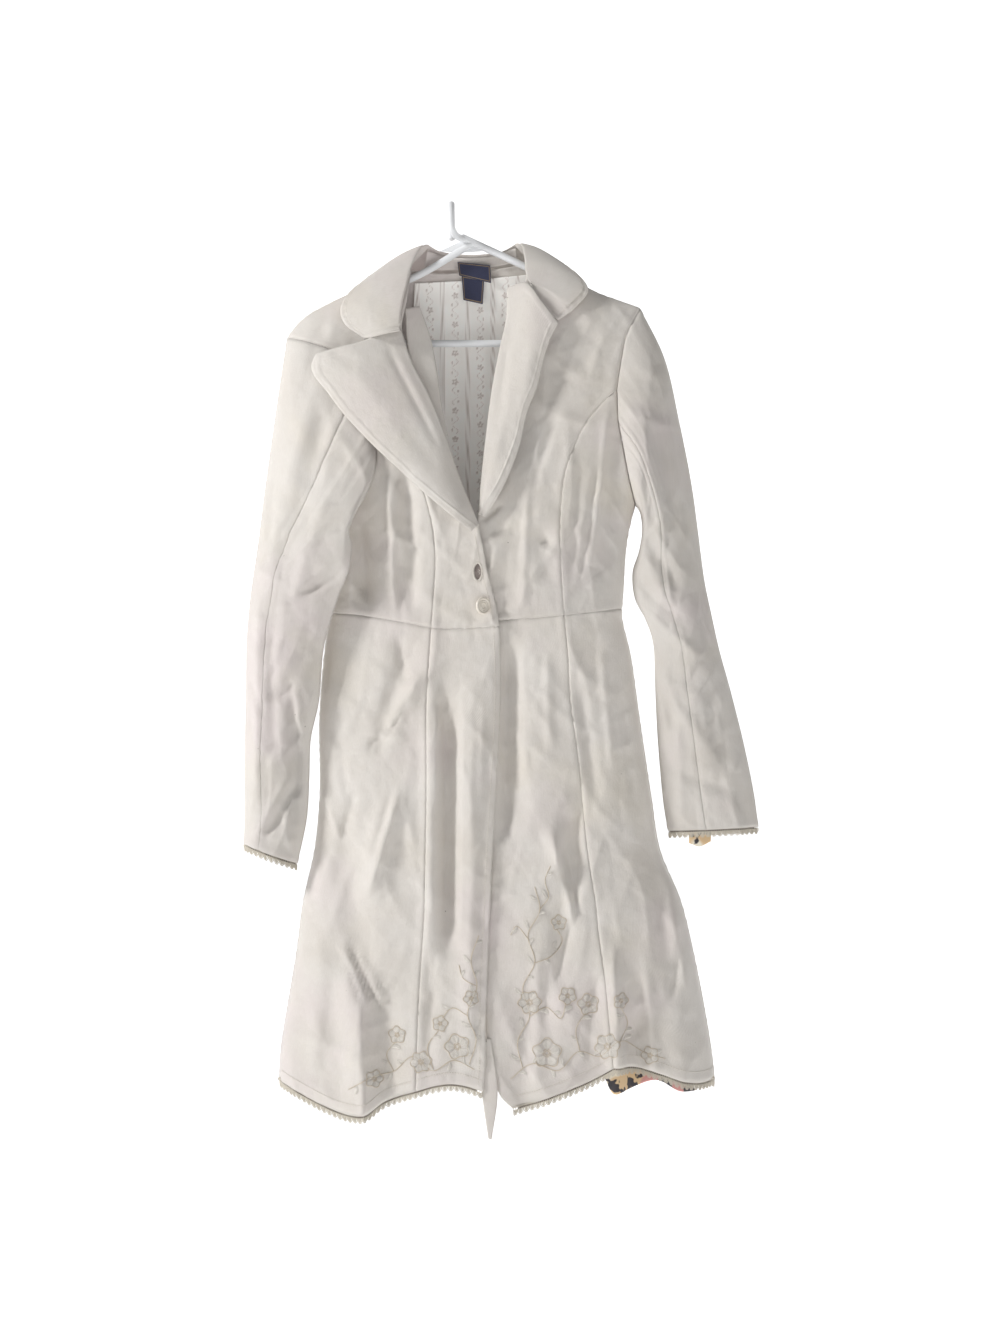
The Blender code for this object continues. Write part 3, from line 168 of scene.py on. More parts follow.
BACK_NECK_LEFT = [(CENTRE_X, -74), (60, -70), (96, -63)]
BACK_ARMHOLE_RIGHT = [(-195, -154), (-172, -180), (-156, -220), (-148, -260)]
BACK_ARMHOLE_RIGHT_LOW = [(-148, -260), (-142, -300), (-139, -335), (-134, -366)]
BACK_ARMHOLE_LEFT = [(224, -119), (214, -160), (206, -205), (202, -245)]
BACK_ARMHOLE_LEFT_LOW = [(202, -245), (204, -290), (209, -325), (217, -352)]
BACK_PRINCESS_RIGHT = [(-148, -260), (-110, -290), (-76, -340), (-56, -410), (-50, -488)]
BACK_PRINCESS_LEFT = [(202, -245), (166, -285), (128, -340), (104, -410), (98, -488)]
CENTRE_BACK = [(CENTRE_X, -74), (CENTRE_X, -200), (CENTRE_X, -350), (CENTRE_X, -490)]
BACK_WAIST_RIGHT = [(-50, -488), (-20, -489), (CENTRE_X, -490)]
BACK_WAIST_LEFT = [(CENTRE_X, -490), (60, -489), (98, -488)]
SIDE_BACK_WAIST_RIGHT = [(-146, -481), (-100, -485), (-50, -488)]
SIDE_BACK_WAIST_LEFT = [(98, -488), (150, -483), (203, -475)]
SKIRT_BACK_RIGHT = [(-50, -489), (-54, -620), (-62, -800), (-72, -1031)]
SKIRT_BACK_LEFT = [(98, -489), (108, -620), (128, -800), (150, -1032)]
SKIRT_CENTRE_BACK = [(CENTRE_X, -491), (CENTRE_X, -650), (CENTRE_X, -850), (CENTRE_X, -1034)]
HEM_BACK_RIGHT = [(-72, -1031), (-40, -1028), (-8, -1031), (CENTRE_X, -1034)]
HEM_BACK_LEFT = [(CENTRE_X, -1034), (60, -1029), (90, -1026), (150, -1032)]
HEM_SIDE_BACK_RIGHT = [(-204, -1029), (-160, -1035), (-120, -1036), (-72, -1031)]
HEM_SIDE_BACK_LEFT = [(150, -1032), (200, -1034), (260, -1031), (313, -1027)]


def smooth(table, at):
    """A smooth curve through (position, value) pairs, with the slopes of its neighbours."""
    table = sorted(table)
    place = np.array([row[0] for row in table], float)
    value = np.array([row[1] for row in table], float)
    slope = np.gradient(value, place)
    at = np.clip(at, place[0], place[-1])
    k = np.clip(np.searchsorted(place, at) - 1, 0, len(place) - 2)
    span = place[k + 1] - place[k]
    t = (at - place[k]) / span
    start = (1 + 2 * t) * (1 - t) ** 2 * value[k] + t * (1 - t) ** 2 * span * slope[k]
    end = t * t * (3 - 2 * t) * value[k + 1] - t * t * (1 - t) * span * slope[k + 1]
    return start + end


def along(points, t):
    """Points at the shares t of the length of a smooth line through the given points."""
    points = np.array(points, float)
    step = np.linalg.norm(np.diff(points, axis=0), axis=1)
    place = np.concatenate([[0], np.cumsum(step)])
    place /= place[-1]
    return np.stack([smooth(list(zip(place, column)), t) for column in points.T], -1)


def step_up(t):
    """A soft step from 0 to 1."""
    t = np.clip(t, 0, 1)
    return t * t * (3 - 2 * t)


def section(z):
    """Middle, half width, front and back depth of the body at height z."""
    left = smooth([(row.z, row.left) for row in BODY], z)
    right = smooth([(row.z, row.right) for row in BODY], z)
    front = smooth([(row.z, row.front) for row in BODY], z)
    back = smooth([(row.z, row.back) for row in BODY], z)
    return (left + right) / 2, (right - left) / 2, front, back


def relief(folds, x, z):
    """The sum of the folds: each is a soft ridge or trough that fades at both ends."""
    total = np.zeros_like(x)
    for x0, z0, x1, z1, width, height in folds:
        run = np.array([x1 - x0, z1 - z0], float)
        length = np.linalg.norm(run)
        t = ((x - x0) * run[0] + (z - z0) * run[1]) / length**2
        held = np.clip(t, 0, 1)
        away = np.hypot(x - x0 - held * run[0], z - z0 - held * run[1])
        fade = step_up(t / 0.3 + 0.2) * step_up((1.2 - t) / 0.4)
        total += height * np.exp(-((away / width) ** 2)) * fade
    return total


CRUMPLE = [
    (37.0, 20.0, 1.8), (53.0, 64.0, 2.0), (31.0, 118.0, 1.4), (46.0, 148.0, 1.8), (27.0, 48.0, 1.0),
    (71.0, 8.0, 2.4), (23.0, 160.0, 0.8), (64.0, 170.0, 2.2),
]
CRUMPLE_GAIN = 1.25
BACK_CRUMPLE_SHIFT = 400.0
SHOULDER_CALM = 16.0


def crumple(x, z):
    """Shallow crushed ridges in several directions, which come and go over the cloth.

    CRUMPLE gives pitch, angle in degrees and height of each set: a wave bent by a slower one,
    sharpened to a ridge, times two slow waves that leave it out in places.
    """
    total = np.zeros_like(x)
    for k, (pitch, angle, height) in enumerate(CRUMPLE):
        a = math.radians(angle)
        aside = z * math.cos(a) - x * math.sin(a)
        across = x * math.cos(a) + z * math.sin(a) + 9.0 * np.sin(aside / 31.0 + 2.3 * k)
        ridge = (1 - np.abs(np.sin(math.pi * across / pitch))) ** 2.4 - 0.15
        where = np.sin(x / 47.0 + 1.7 * k + 0.6 * np.sin(z / 39.0))
        where = where * np.sin(z / 58.0 + 2.9 * k + 0.5 * np.sin(x / 33.0))
        total += CRUMPLE_GAIN * height * ridge * np.clip(where, -0.35, 1.0)
    return total


def round_over(x, z):
    """How far the cloth has turned down from the shoulder line, from 0 to 1."""
    drop = np.clip((smooth(SHOULDER, x) - z) / SHOULDER_ROUND, 0, 1)
    return np.sqrt(np.clip(1 - (1 - drop) ** 2, 0, 1))


def body(angle, z, lap=0.0, creases=0.0):
    """The body's outer face: angle is 0 at mid front, a quarter turn at a side seam.

    Each height is a flattened half ellipse in front and one behind, rounded over at the
    shoulder. The folds stand out from it, and where creases is 1 the small creases too.
    """
    middle, half, front, back = section(z)
    x = middle + half * np.sin(angle)
    facing = np.where(np.cos(angle) >= 0, 1.0, -1.0)
    swell = np.clip(np.abs(np.cos(angle)), 0, 1) ** FRONT_FLATNESS
    depth = np.where(facing > 0, front, back) * swell * round_over(x, z)
    edge = step_up(np.abs(np.cos(angle)) / 0.5)
    waves = np.where(facing > 0, relief(FRONT_FOLDS, x, z), relief(BACK_FOLDS, x, z))
    if creases:
        small = np.where(facing > 0, relief(FRONT_CREASES, x, z), relief(BACK_CREASES, x, z))
        small = CREASE_HEIGHT * small + crumple(x + BACK_CRUMPLE_SHIFT * (facing < 0), z)
        seam_hold = step_up((smooth(SHOULDER, x) - z) / SHOULDER_CALM)
        waves = waves * seam_hold + creases * seam_hold * small
    y = -facing * (depth + waves * edge)
    under = (1 - step_up((x - 60) / 45)) * round_over(x, z) * np.where(facing > 0, 1.0, 0.0)
    return np.stack([x, y + lap * under, z], -1)


def turn(points, back=False):
    """Front view x and z made the body's own angle and z."""
    points = np.array(points, float)
    middle, half, _, _ = section(points[:, 1])
    share = np.clip((points[:, 0] - middle) / half, -1, 1)
    angle = np.arcsin(np.where(np.abs(share) > AT_SIDE_SEAM, np.sign(share), share))
    if back:
        angle = math.pi - angle
    return np.stack([angle, points[:, 1]], -1)


def seam(line, count, back=False, gather=1.0):
    """A seam line as that many places on the body, which both panels at the seam share."""
    return turn(along(line, np.linspace(0, 1, count) ** gather), back)


def side_seam(line, count, side, back=False):
    """A side seam, exactly where front and back meet: side is -1 at the right, 1 at the left."""
    z = along(line, np.linspace(0, 1, count))[:, 1]
    angle = side * math.pi / 2
    return np.stack([np.full(count, math.pi - angle if back else angle), z], -1)


def join(*lines):
    """Lines that follow each other, as one."""
    return np.concatenate([lines[0]] + [line[1:] for line in lines[1:]])


def patch(top, bottom, near, far):
    """A grid filled in between four lines: near and far run down, top and bottom run across."""
    uu = np.linspace(0, 1, len(top))[None, :, None]
    vv = np.linspace(0, 1, len(near))[:, None, None]
    grid = (1 - vv) * top[None] + vv * bottom[None] + (1 - uu) * near[:, None] + uu * far[:, None]
    corners = (1 - uu) * (1 - vv) * near[0] + uu * (1 - vv) * far[0]
    return grid - corners - (1 - uu) * vv * near[-1] - uu * vv * far[-1]


def grid_normals(grid):
    """Unit normals of a grid, from the differences between its points."""
    normal = np.cross(np.gradient(grid, axis=1), np.gradient(grid, axis=0))
    return normal / np.maximum(np.linalg.norm(normal, axis=-1, keepdims=True), 1e-9)


def from_edges(grid):
    """How far each point of a grid lies from each of its four edges, measured on the grid."""
    down = np.linalg.norm(np.diff(grid, axis=0), axis=-1)
    across = np.linalg.norm(np.diff(grid, axis=1), axis=-1)
    zero_row = np.zeros((1, grid.shape[1]))
    zero_column = np.zeros((grid.shape[0], 1))
    top = np.concatenate([zero_row, np.cumsum(down, axis=0)])
    near = np.concatenate([zero_column, np.cumsum(across, axis=1)], axis=1)
    return top, top[-1:] - top, near, near[:, -1:] - near


def add_mesh(name, points, faces, made_of, smooth_faces=True, uv=None):
    """A named object from points in millimetres and rows of four corners; it rides on the coat."""
    mesh = bpy.data.meshes.new(name)
    mesh.vertices.add(len(points))
    mesh.vertices.foreach_set("co", (np.asarray(points, float) * MM).astype(np.float32).ravel())
    faces = np.asarray(faces, np.int32)
    count = faces.shape[1]
    mesh.loops.add(faces.size)
    mesh.loops.foreach_set("vertex_index", faces.ravel())
    mesh.polygons.add(len(faces))
    mesh.polygons.foreach_set("loop_start", np.arange(len(faces), dtype=np.int32) * count)
    mesh.polygons.foreach_set("use_smooth", np.full(len(faces), smooth_faces))
    mesh.update(calc_edges=True)
    if uv is not None:
        layer = mesh.uv_layers.new(name="cloth")
        layer.data.foreach_set("uv", np.asarray(uv, np.float32)[faces.ravel()].ravel())
    mesh.materials.append(made_of)
    obj = bpy.data.objects.new(name, mesh)
    bpy.context.scene.collection.objects.link(obj)
    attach(obj, "root")
    return obj


def quads(rows, columns, closed=False):
    """The faces of a grid of points, as rows of four corners; closed joins last and first column."""
    index = np.arange(rows * columns).reshape(rows, columns)
    if closed:
        index = np.concatenate([index, index[:, :1]], axis=1)
    return np.stack([index[:-1, :-1], index[:-1, 1:], index[1:, 1:], index[1:, :-1]], -1).reshape(-1, 4)


def add_wall(name, outer, inner, made_of):
    """A closed cloth wall between two grids: the faces of both and a strip round the rim."""
    rows, columns = outer.shape[:2]
    points = np.concatenate([outer.reshape(-1, 3), inner.reshape(-1, 3)])
    index = np.arange(rows * columns).reshape(rows, columns)
    rim = np.concatenate([index[0, :-1], index[:-1, -1], index[-1, :0:-1], index[:0:-1, 0]])
    after = np.roll(rim, -1)
    total = rows * columns
    edge = np.stack([rim, rim + total, after + total, after], -1)
    front = quads(rows, columns)
    faces = np.concatenate([front, front[:, ::-1] + total, edge])
    a, b, c, d = (points[faces[:, k]] for k in range(4))
    if (np.einsum("ij,ij->i", a, np.cross(b, c)) + np.einsum("ij,ij->i", a, np.cross(c, d))).sum() < 0:
        faces = faces[:, ::-1]
    along_down, _, along_across, _ = from_edges(outer)
    flat = np.stack([along_across, along_down], -1).reshape(-1, 2) * MM
    return add_mesh(name, points, faces, made_of, uv=np.concatenate([flat, flat]))


def new_material(name, roughness, sheen=0.0):
    """A new material with its tree and its shader, ready to be joined."""
    made = bpy.data.materials.new(name)
    made.use_nodes = True
    shader = made.node_tree.nodes["Principled BSDF"]
    shader.inputs["Roughness"].default_value = roughness
    shader.inputs["Sheen Weight"].default_value = sheen
    shader.inputs["Sheen Roughness"].default_value = 0.6
    return made, made.node_tree, shader


def plain_material(name, roughness, colour):
    """One even colour."""
    made, _, shader = new_material(name, roughness)
    shader.inputs["Base Color"].default_value = (*colour, 1.0)
    return made


def noise(tree, where, scale, detail=3.0, roughness=0.55):
    """Smooth noise over the given coordinates."""
    node = tree.nodes.new("ShaderNodeTexNoise")
    node.inputs["Scale"].default_value = scale
    node.inputs["Detail"].default_value = detail
    node.inputs["Roughness"].default_value = roughness
    tree.links.new(where, node.inputs["Vector"])
    return node.outputs["Fac"]


def ramp(tree, value, low, high, colours):
    """A value turned into a colour between two, from low to high."""
    node = tree.nodes.new("ShaderNodeValToRGB")
    node.color_ramp.elements[0].position = low
    node.color_ramp.elements[1].position = high
    node.color_ramp.elements[0].color = (*colours[0], 1.0)
    node.color_ramp.elements[1].color = (*colours[1], 1.0)
    tree.links.new(value, node.inputs["Fac"])
    return node.outputs["Color"]


def blend(tree, kind, share, first, second):
    """Two colours laid over each other; share is a number or an output."""
    node = tree.nodes.new("ShaderNodeMix")
    node.data_type = "RGBA"
    node.blend_type = kind
    if isinstance(share, float):
        node.inputs["Factor"].default_value = share
    else:
        tree.links.new(share, node.inputs["Factor"])
    tree.links.new(first, node.inputs["A"])
    if isinstance(second, tuple):
        node.inputs["B"].default_value = (*second, 1.0)
    else:
        tree.links.new(second, node.inputs["B"])
    return node.outputs["Result"]


def bump(tree, height, distance, strength, under=None):
    """A bump from a height, over the bump under it."""
    node = tree.nodes.new("ShaderNodeBump")
    node.inputs["Distance"].default_value = distance
    node.inputs["Strength"].default_value = strength
    tree.links.new(height, node.inputs["Height"])
    if under is not None:
        tree.links.new(under, node.inputs["Normal"])
    return node.outputs["Normal"]


BLACK = (0.0, 0.0, 0.0)
WHITE = (1.0, 1.0, 1.0)
COTTON_LIT = (0.73, 0.692, 0.648)
COTTON_WORN = (0.69, 0.645, 0.592)
COTTON_PINK = (0.72, 0.655, 0.632)
COTTON_YELLOW = (0.725, 0.675, 0.598)
SPECK = (0.20, 0.17, 0.14)
TWILL_PITCH = 0.0011
WAVE_SCALE = 0.314
TWILL_ANGLE = 63


def cotton_material(name, turned=0.0):
    """Cream twill: fine diagonal ribs, a soft crushed hand, faint tinted patches and a few specks."""
    made, tree, shader = new_material(name, 0.88, 0.25)
    place = tree.nodes.new("ShaderNodeTexCoord")
    uv = place.outputs["UV"]
    space = place.outputs["Object"]
    worn = ramp(tree, noise(tree, space, 14.0, 4.0), 0.36, 0.66, (COTTON_LIT, COTTON_WORN))
    pink = ramp(tree, noise(tree, space, 6.5, 3.0), 0.50, 0.70, (BLACK, WHITE))
    colour = blend(tree, "MIX", pink, worn, COTTON_PINK)
    moved = tree.nodes.new("ShaderNodeVectorMath")
    moved.operation = "ADD"
    moved.inputs[1].default_value = (3.1, 7.7, 1.3)
    tree.links.new(space, moved.inputs[0])
    tinted = noise(tree, moved.outputs[0], 9.0, 4.0)
    yellow = ramp(tree, tinted, 0.54, 0.74, (BLACK, (0.8, 0.8, 0.8)))
    colour = blend(tree, "MIX", yellow, colour, COTTON_YELLOW)
    fleck = tree.nodes.new("ShaderNodeTexVoronoi")
    fleck.inputs["Scale"].default_value = 62.0
    tree.links.new(space, fleck.inputs["Vector"])
    rare = noise(tree, space, 31.0, 0.0)
    dot = ramp(tree, fleck.outputs["Distance"], 0.035, 0.055, (WHITE, BLACK))
    where = ramp(tree, rare, 0.70, 0.73, (BLACK, (0.75, 0.75, 0.75)))
    colour = blend(tree, "MIX", blend(tree, "MULTIPLY", 1.0, dot, where), colour, SPECK)
    slant = tree.nodes.new("ShaderNodeMapping")
    slant.inputs["Rotation"].default_value = (0.0, 0.0, math.radians(TWILL_ANGLE + turned))
    tree.links.new(uv, slant.inputs["Vector"])
    rib = tree.nodes.new("ShaderNodeTexWave")
    rib.inputs["Scale"].default_value = WAVE_SCALE / TWILL_PITCH
    rib.inputs["Distortion"].default_value = 0.8
    rib.inputs["Detail"].default_value = 1.0
    tree.links.new(slant.outputs["Vector"], rib.inputs["Vector"])
    slub = tree.nodes.new("ShaderNodeMapping")
    slub.inputs["Scale"].default_value = (900.0, 120.0, 1.0)
    tree.links.new(uv, slub.inputs["Vector"])
    thread = noise(tree, slub.outputs["Vector"], 1.0, 2.0)
    shade = ramp(tree, thread, 0.30, 0.75, ((0.955, 0.95, 0.94), WHITE))
    colour = blend(tree, "MULTIPLY", 1.0, colour, shade)
    tree.links.new(colour, shader.inputs["Base Color"])
    crushed = bump(tree, noise(tree, space, 38.0, 5.0, 0.52), 0.0028, 0.55)
    dented = bump(tree, noise(tree, space, 15.0, 3.0, 0.5), 0.008, 0.6, crushed)
    slubs = bump(tree, thread, 0.00035, 0.5, dented)
    ribs = bump(tree, rib.outputs["Fac"], 0.00022, 0.7, slubs)
    tree.links.new(ribs, shader.inputs["Normal"])
    return made


COTTON = cotton_material("cream cotton twill")
COTTON_TURNED = cotton_material("cream cotton twill on the turned side", 50.0)

ACROSS = {"front_right": 8, "front_left": 10, "side_right": 9, "side_left": 8, "back": 5, "side_back": 6}
SHOULDER_ROWS = 6
BODICE_ROWS = 8
SKIRT_ROWS = 14
FINE_ACROSS = 5
FINE_DOWN = 10
ROLL_ROWS = 9
EDGE_ROWS = SHOULDER_ROWS + BODICE_ROWS - ROLL_ROWS
SEAM_DEPTH = 0.3
SEAM_WIDTH = 1.0
PRESSED = namedtuple("Pressed", "away width height")(5.0, 3.0, 0.45)
PUCKER = namedtuple("Pucker", "pitch reach height")(12.5, 9.0, 0.38)
MIDDLE_GAP = 0.15
LOWER = np.array([0.0, 0.1])
BUTTONHOLE_AT = (31.5, -433.0)
BUTTONHOLE = (8.4, 19.0)
EYE_SIDES = 40


def finer(count, by):
    """How many points a seam has when each stretch between its plain points is cut in that many."""
    return (count - 1) * by + 1


WIDE = {panel: finer(count, FINE_ACROSS) for panel, count in ACROSS.items()}
BACK_WIDE = WIDE["back"]
SIDE_BACK_WIDE = WIDE["side_back"]
SHOULDER_DOWN = finer(SHOULDER_ROWS, FINE_DOWN)
BODICE_DOWN = finer(BODICE_ROWS, FINE_DOWN)
SKIRT_DOWN = finer(SKIRT_ROWS, FINE_DOWN)
ROLL_DOWN = finer(ROLL_ROWS, FINE_DOWN)
EDGE_DOWN = finer(EDGE_ROWS, FINE_DOWN)


def seam_dress(grid, normal):
    """A panel's face drawn in at its seams, with a pressed edge and small puckers beside them."""
    x, z = grid[..., 0], grid[..., 2]
    total = np.zeros(grid.shape[:2])
    for k, away in enumerate(from_edges(grid)):
        run = (x if k < 2 else z) + 5.0 * np.sin(x * 0.05 + z * 0.031 + k)
        ripple = np.sin(run * 2 * math.pi / PUCKER.pitch) * (0.55 + 0.45 * np.sin(run * 0.11 + 2.0 * k))
        total -= SEAM_DEPTH * np.exp(-((away / SEAM_WIDTH) ** 2))
        total += PRESSED.height * np.exp(-(((away - PRESSED.away) / PRESSED.width) ** 2))
        total += PUCKER.height * ripple * np.exp(-((away / PUCKER.reach) ** 2))
    return grid + normal * total[..., None]


def add_panel(name, top, bottom, near, far, back=False, lap=0.0):
    """A body panel as a closed thin shell between its four seams, with its cut size in metres."""
    place = patch(top, bottom, near, far)
    angle, z = place[..., 0], place[..., 1]
    z = np.minimum(z, smooth(SHOULDER, body(angle, z)[..., 0]))
    outer = body(angle, z, lap, 1.0)
    small = 0.002
    beside = np.minimum(z, smooth(SHOULDER, outer[..., 0]) - 1.5)
    along_angle = body(angle + small, beside, lap, 1.0) - body(angle - small, beside, lap, 1.0)
    along_z = body(angle, beside + 0.5, lap, 1.0) - body(angle, beside - 0.5, lap, 1.0)
    normal = np.cross(along_angle, along_z)
    normal /= np.maximum(np.linalg.norm(normal, axis=-1, keepdims=True), 1e-9)
    normal *= -np.sign((normal[..., 1] * (-1.0 if back else 1.0)).sum())
    outer = seam_dress(outer, normal)
    inner = outer - normal * WALL
    for grid in (outer, inner):
        grid[..., 1] = np.maximum(grid[..., 1], MIDDLE_GAP) if back else np.minimum(grid[..., 1], -MIDDLE_GAP)
    panel = add_wall(name + "_cloth", outer, inner, COTTON)
    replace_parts(panel, name)
    return panel


def cut_eye(panel, centre, size):
    """Cuts an oval opening right through a cloth wall, from in front to behind it."""
    n = EYE_SIDES
    steps = np.arange(n) * 2 * math.pi / n
    wide = size[0] / 2 * np.sin(steps) * np.abs(np.sin(steps)) ** 0.3
    high = size[1] / 2 * np.cos(steps)
    ring = [np.stack([centre[0] + wide, np.full(n, depth), centre[1] + high], -1) for depth in (-90.0, -20.0)]
    mesh = bpy.data.meshes.new("eye")
    faces = [tuple(range(n)), tuple(range(2 * n - 1, n - 1, -1))]
    faces += [((k + 1) % n, k, n + k, n + (k + 1) % n) for k in range(n)]
    mesh.from_pydata([tuple(point) for point in np.concatenate(ring) * MM], [], faces)
    mesh.flip_normals()
    cutter = bpy.data.objects.new("eye", mesh)
    bpy.context.scene.collection.objects.link(cutter)
    cut = panel.modifiers.new("eye", "BOOLEAN")
    cut.operation = "DIFFERENCE"
    cut.object = cutter
    bpy.context.view_layer.update()
    open_panel = bpy.data.meshes.new_from_object(panel.evaluated_get(bpy.context.evaluated_depsgraph_get()))
    panel.modifiers.clear()
    panel.data = open_panel
    bpy.data.objects.remove(cutter)


shoulder_right = seam(SHOULDER_SEAM_RIGHT, WIDE["front_right"])
shoulder_left = seam(SHOULDER_SEAM_LEFT, WIDE["front_left"])
arm_right = seam(ARMHOLE_RIGHT, SHOULDER_DOWN, gather=1.3)
arm_left = seam(ARMHOLE_LEFT, SHOULDER_DOWN, gather=1.3)
princess_right = seam(PRINCESS_RIGHT, BODICE_DOWN)
princess_left = seam(PRINCESS_LEFT, BODICE_DOWN)
waist_front_right = seam(WAIST_RIGHT_FRONT, WIDE["front_right"])
waist_front_left = seam(WAIST_LEFT_FRONT, WIDE["front_left"])
waist_side_right = seam(WAIST_RIGHT_SIDE, WIDE["side_right"])
waist_side_left = seam(WAIST_LEFT_SIDE, WIDE["side_left"])
opening_right = join(
    seam(ROLL_RIGHT, ROLL_DOWN, gather=1.2), seam(EDGE_RIGHT, EDGE_DOWN))
opening_left = join(
    seam(ROLL_LEFT, ROLL_DOWN, gather=1.2), seam(EDGE_LEFT, EDGE_DOWN))

bodice_front_right = add_panel(
    "bodice_front_right", shoulder_right, waist_front_right, join(arm_right, princess_right), opening_right)
cut_eye(bodice_front_right, BUTTONHOLE_AT, BUTTONHOLE)
add_panel(
    "bodice_front_left", shoulder_left, waist_front_left, opening_left, join(arm_left, princess_left),
    lap=LAP)
add_panel(
    "bodice_side_right", seam(ARMHOLE_RIGHT_LOW, WIDE["side_right"])[::-1], waist_side_right,
    side_seam(SIDE_BODICE_RIGHT, BODICE_DOWN, -1), princess_right)
add_panel(
    "bodice_side_left", seam(ARMHOLE_LEFT_LOW, WIDE["side_left"]), waist_side_left,
    princess_left, side_seam(SIDE_BODICE_LEFT, BODICE_DOWN, 1))

back_arm_right = seam(BACK_ARMHOLE_RIGHT, SHOULDER_DOWN, True, gather=1.3)
back_arm_left = seam(BACK_ARMHOLE_LEFT, SHOULDER_DOWN, True, gather=1.3)
back_princess_right = seam(BACK_PRINCESS_RIGHT, BODICE_DOWN, True)
back_princess_left = seam(BACK_PRINCESS_LEFT, BODICE_DOWN, True)
centre_back = seam(CENTRE_BACK, SHOULDER_DOWN + BODICE_DOWN - 1, True, gather=1.3)
back_waist_right = seam(BACK_WAIST_RIGHT, 2 * BACK_WIDE - 1, True)
back_waist_left = seam(BACK_WAIST_LEFT, 2 * BACK_WIDE - 1, True)
side_waist_right = seam(SIDE_BACK_WAIST_RIGHT, SIDE_BACK_WIDE, True)
side_waist_left = seam(SIDE_BACK_WAIST_LEFT, SIDE_BACK_WIDE, True)
add_panel(
    "bodice_back_right",
    join(seam(SHOULDER_SEAM_RIGHT, BACK_WIDE, True, gather=1.2), seam(BACK_NECK_RIGHT, BACK_WIDE, True)),
    back_waist_right, join(back_arm_right, back_princess_right), centre_back, True)
add_panel(
    "bodice_back_left",
    join(seam(BACK_NECK_LEFT, BACK_WIDE, True), seam(SHOULDER_SEAM_LEFT, BACK_WIDE, True)),
    back_waist_left, centre_back, join(back_arm_left, back_princess_left), True)
add_panel(
    "bodice_side_back_right", seam(BACK_ARMHOLE_RIGHT_LOW, SIDE_BACK_WIDE, True)[::-1], side_waist_right,
    side_seam(SIDE_BODICE_RIGHT, BODICE_DOWN, -1, True), back_princess_right, True)
add_panel(
    "bodice_side_back_left", seam(BACK_ARMHOLE_LEFT_LOW, SIDE_BACK_WIDE, True), side_waist_left,
    back_princess_left, side_seam(SIDE_BODICE_LEFT, BODICE_DOWN, 1, True), True)

# The skirt below the waist seam: eight gores that widen to the hem, in the same twill. They
# are seamed edge to edge like the bodice and hang open at the front.
gore_right = seam(PRINCESS_SKIRT_RIGHT, SKIRT_DOWN)
gore_left = seam(PRINCESS_SKIRT_LEFT, SKIRT_DOWN)
gore_back_right = seam(SKIRT_BACK_RIGHT, SKIRT_DOWN, True)
gore_back_left = seam(SKIRT_BACK_LEFT, SKIRT_DOWN, True)
skirt_centre_back = seam(SKIRT_CENTRE_BACK, SKIRT_DOWN, True)
hem_front_right = seam(HEM_RIGHT_FRONT, WIDE["front_right"])
hem_front_left = seam(HEM_LEFT_FRONT, WIDE["front_left"])
hem_side_right = seam(HEM_RIGHT_SIDE, WIDE["side_right"])
hem_side_left = seam(HEM_LEFT_SIDE, WIDE["side_left"])
add_panel(
    "skirt_front_right", waist_front_right - LOWER, hem_front_right, gore_right,
    seam(EDGE_SKIRT_RIGHT, SKIRT_DOWN))
add_panel(
    "skirt_front_left", waist_front_left - LOWER, hem_front_left, seam(EDGE_SKIRT_LEFT, SKIRT_DOWN),
    gore_left, lap=LAP)
add_panel(
    "skirt_side_right", waist_side_right - LOWER, hem_side_right, side_seam(SIDE_SKIRT_RIGHT, SKIRT_DOWN, -1),
    gore_right)
add_panel(
    "skirt_side_left", waist_side_left - LOWER, hem_side_left, gore_left,
    side_seam(SIDE_SKIRT_LEFT, SKIRT_DOWN, 1))
add_panel(
    "skirt_back_right", back_waist_right - LOWER, seam(HEM_BACK_RIGHT, 2 * BACK_WIDE - 1, True),
    gore_back_right, skirt_centre_back, True)
add_panel(
    "skirt_back_left", back_waist_left - LOWER, seam(HEM_BACK_LEFT, 2 * BACK_WIDE - 1, True),
    skirt_centre_back, gore_back_left, True)
add_panel(
    "skirt_side_back_right", side_waist_right - LOWER, seam(HEM_SIDE_BACK_RIGHT, SIDE_BACK_WIDE, True),
    side_seam(SIDE_SKIRT_RIGHT, SKIRT_DOWN, -1, True), gore_back_right, True)
add_panel(
    "skirt_side_back_left", side_waist_left - LOWER, seam(HEM_SIDE_BACK_LEFT, SIDE_BACK_WIDE, True),
    gore_back_left, side_seam(SIDE_SKIRT_LEFT, SKIRT_DOWN, 1, True), True)

# The two sleeves: each a flat tube in two pieces, a top sleeve round the outer edge and an
# under sleeve round the inner edge. They are set into the armholes and hang at the sides.
Ring = namedtuple("Ring", "outer_x outer_z outer_y inner_x inner_z inner_y depth")
SLEEVE_RIGHT = [
    Ring(-195, -154, 0, -134, -366, 0, 0), Ring(-206, -233, -10, -127, -378, -22, 12),
    Ring(-219, -327, -14, -116, -397, -48, 18), Ring(-228, -400, -18, -118, -430, -62, 20),
    Ring(-236, -456, -20, -131, -462, -54, 22), Ring(-241, -514, -22, -148, -520, -48, 24),
    Ring(-242, -583, -24, -154, -583, -44, 24), Ring(-243, -640, -26, -164, -629, -40, 23),
    Ring(-243, -690, -28, -166, -675, -38, 22), Ring(-243, -730, -30, -169, -722, -36, 21),
    Ring(-244, -752, -30, -180, -775, -34, 20),
]
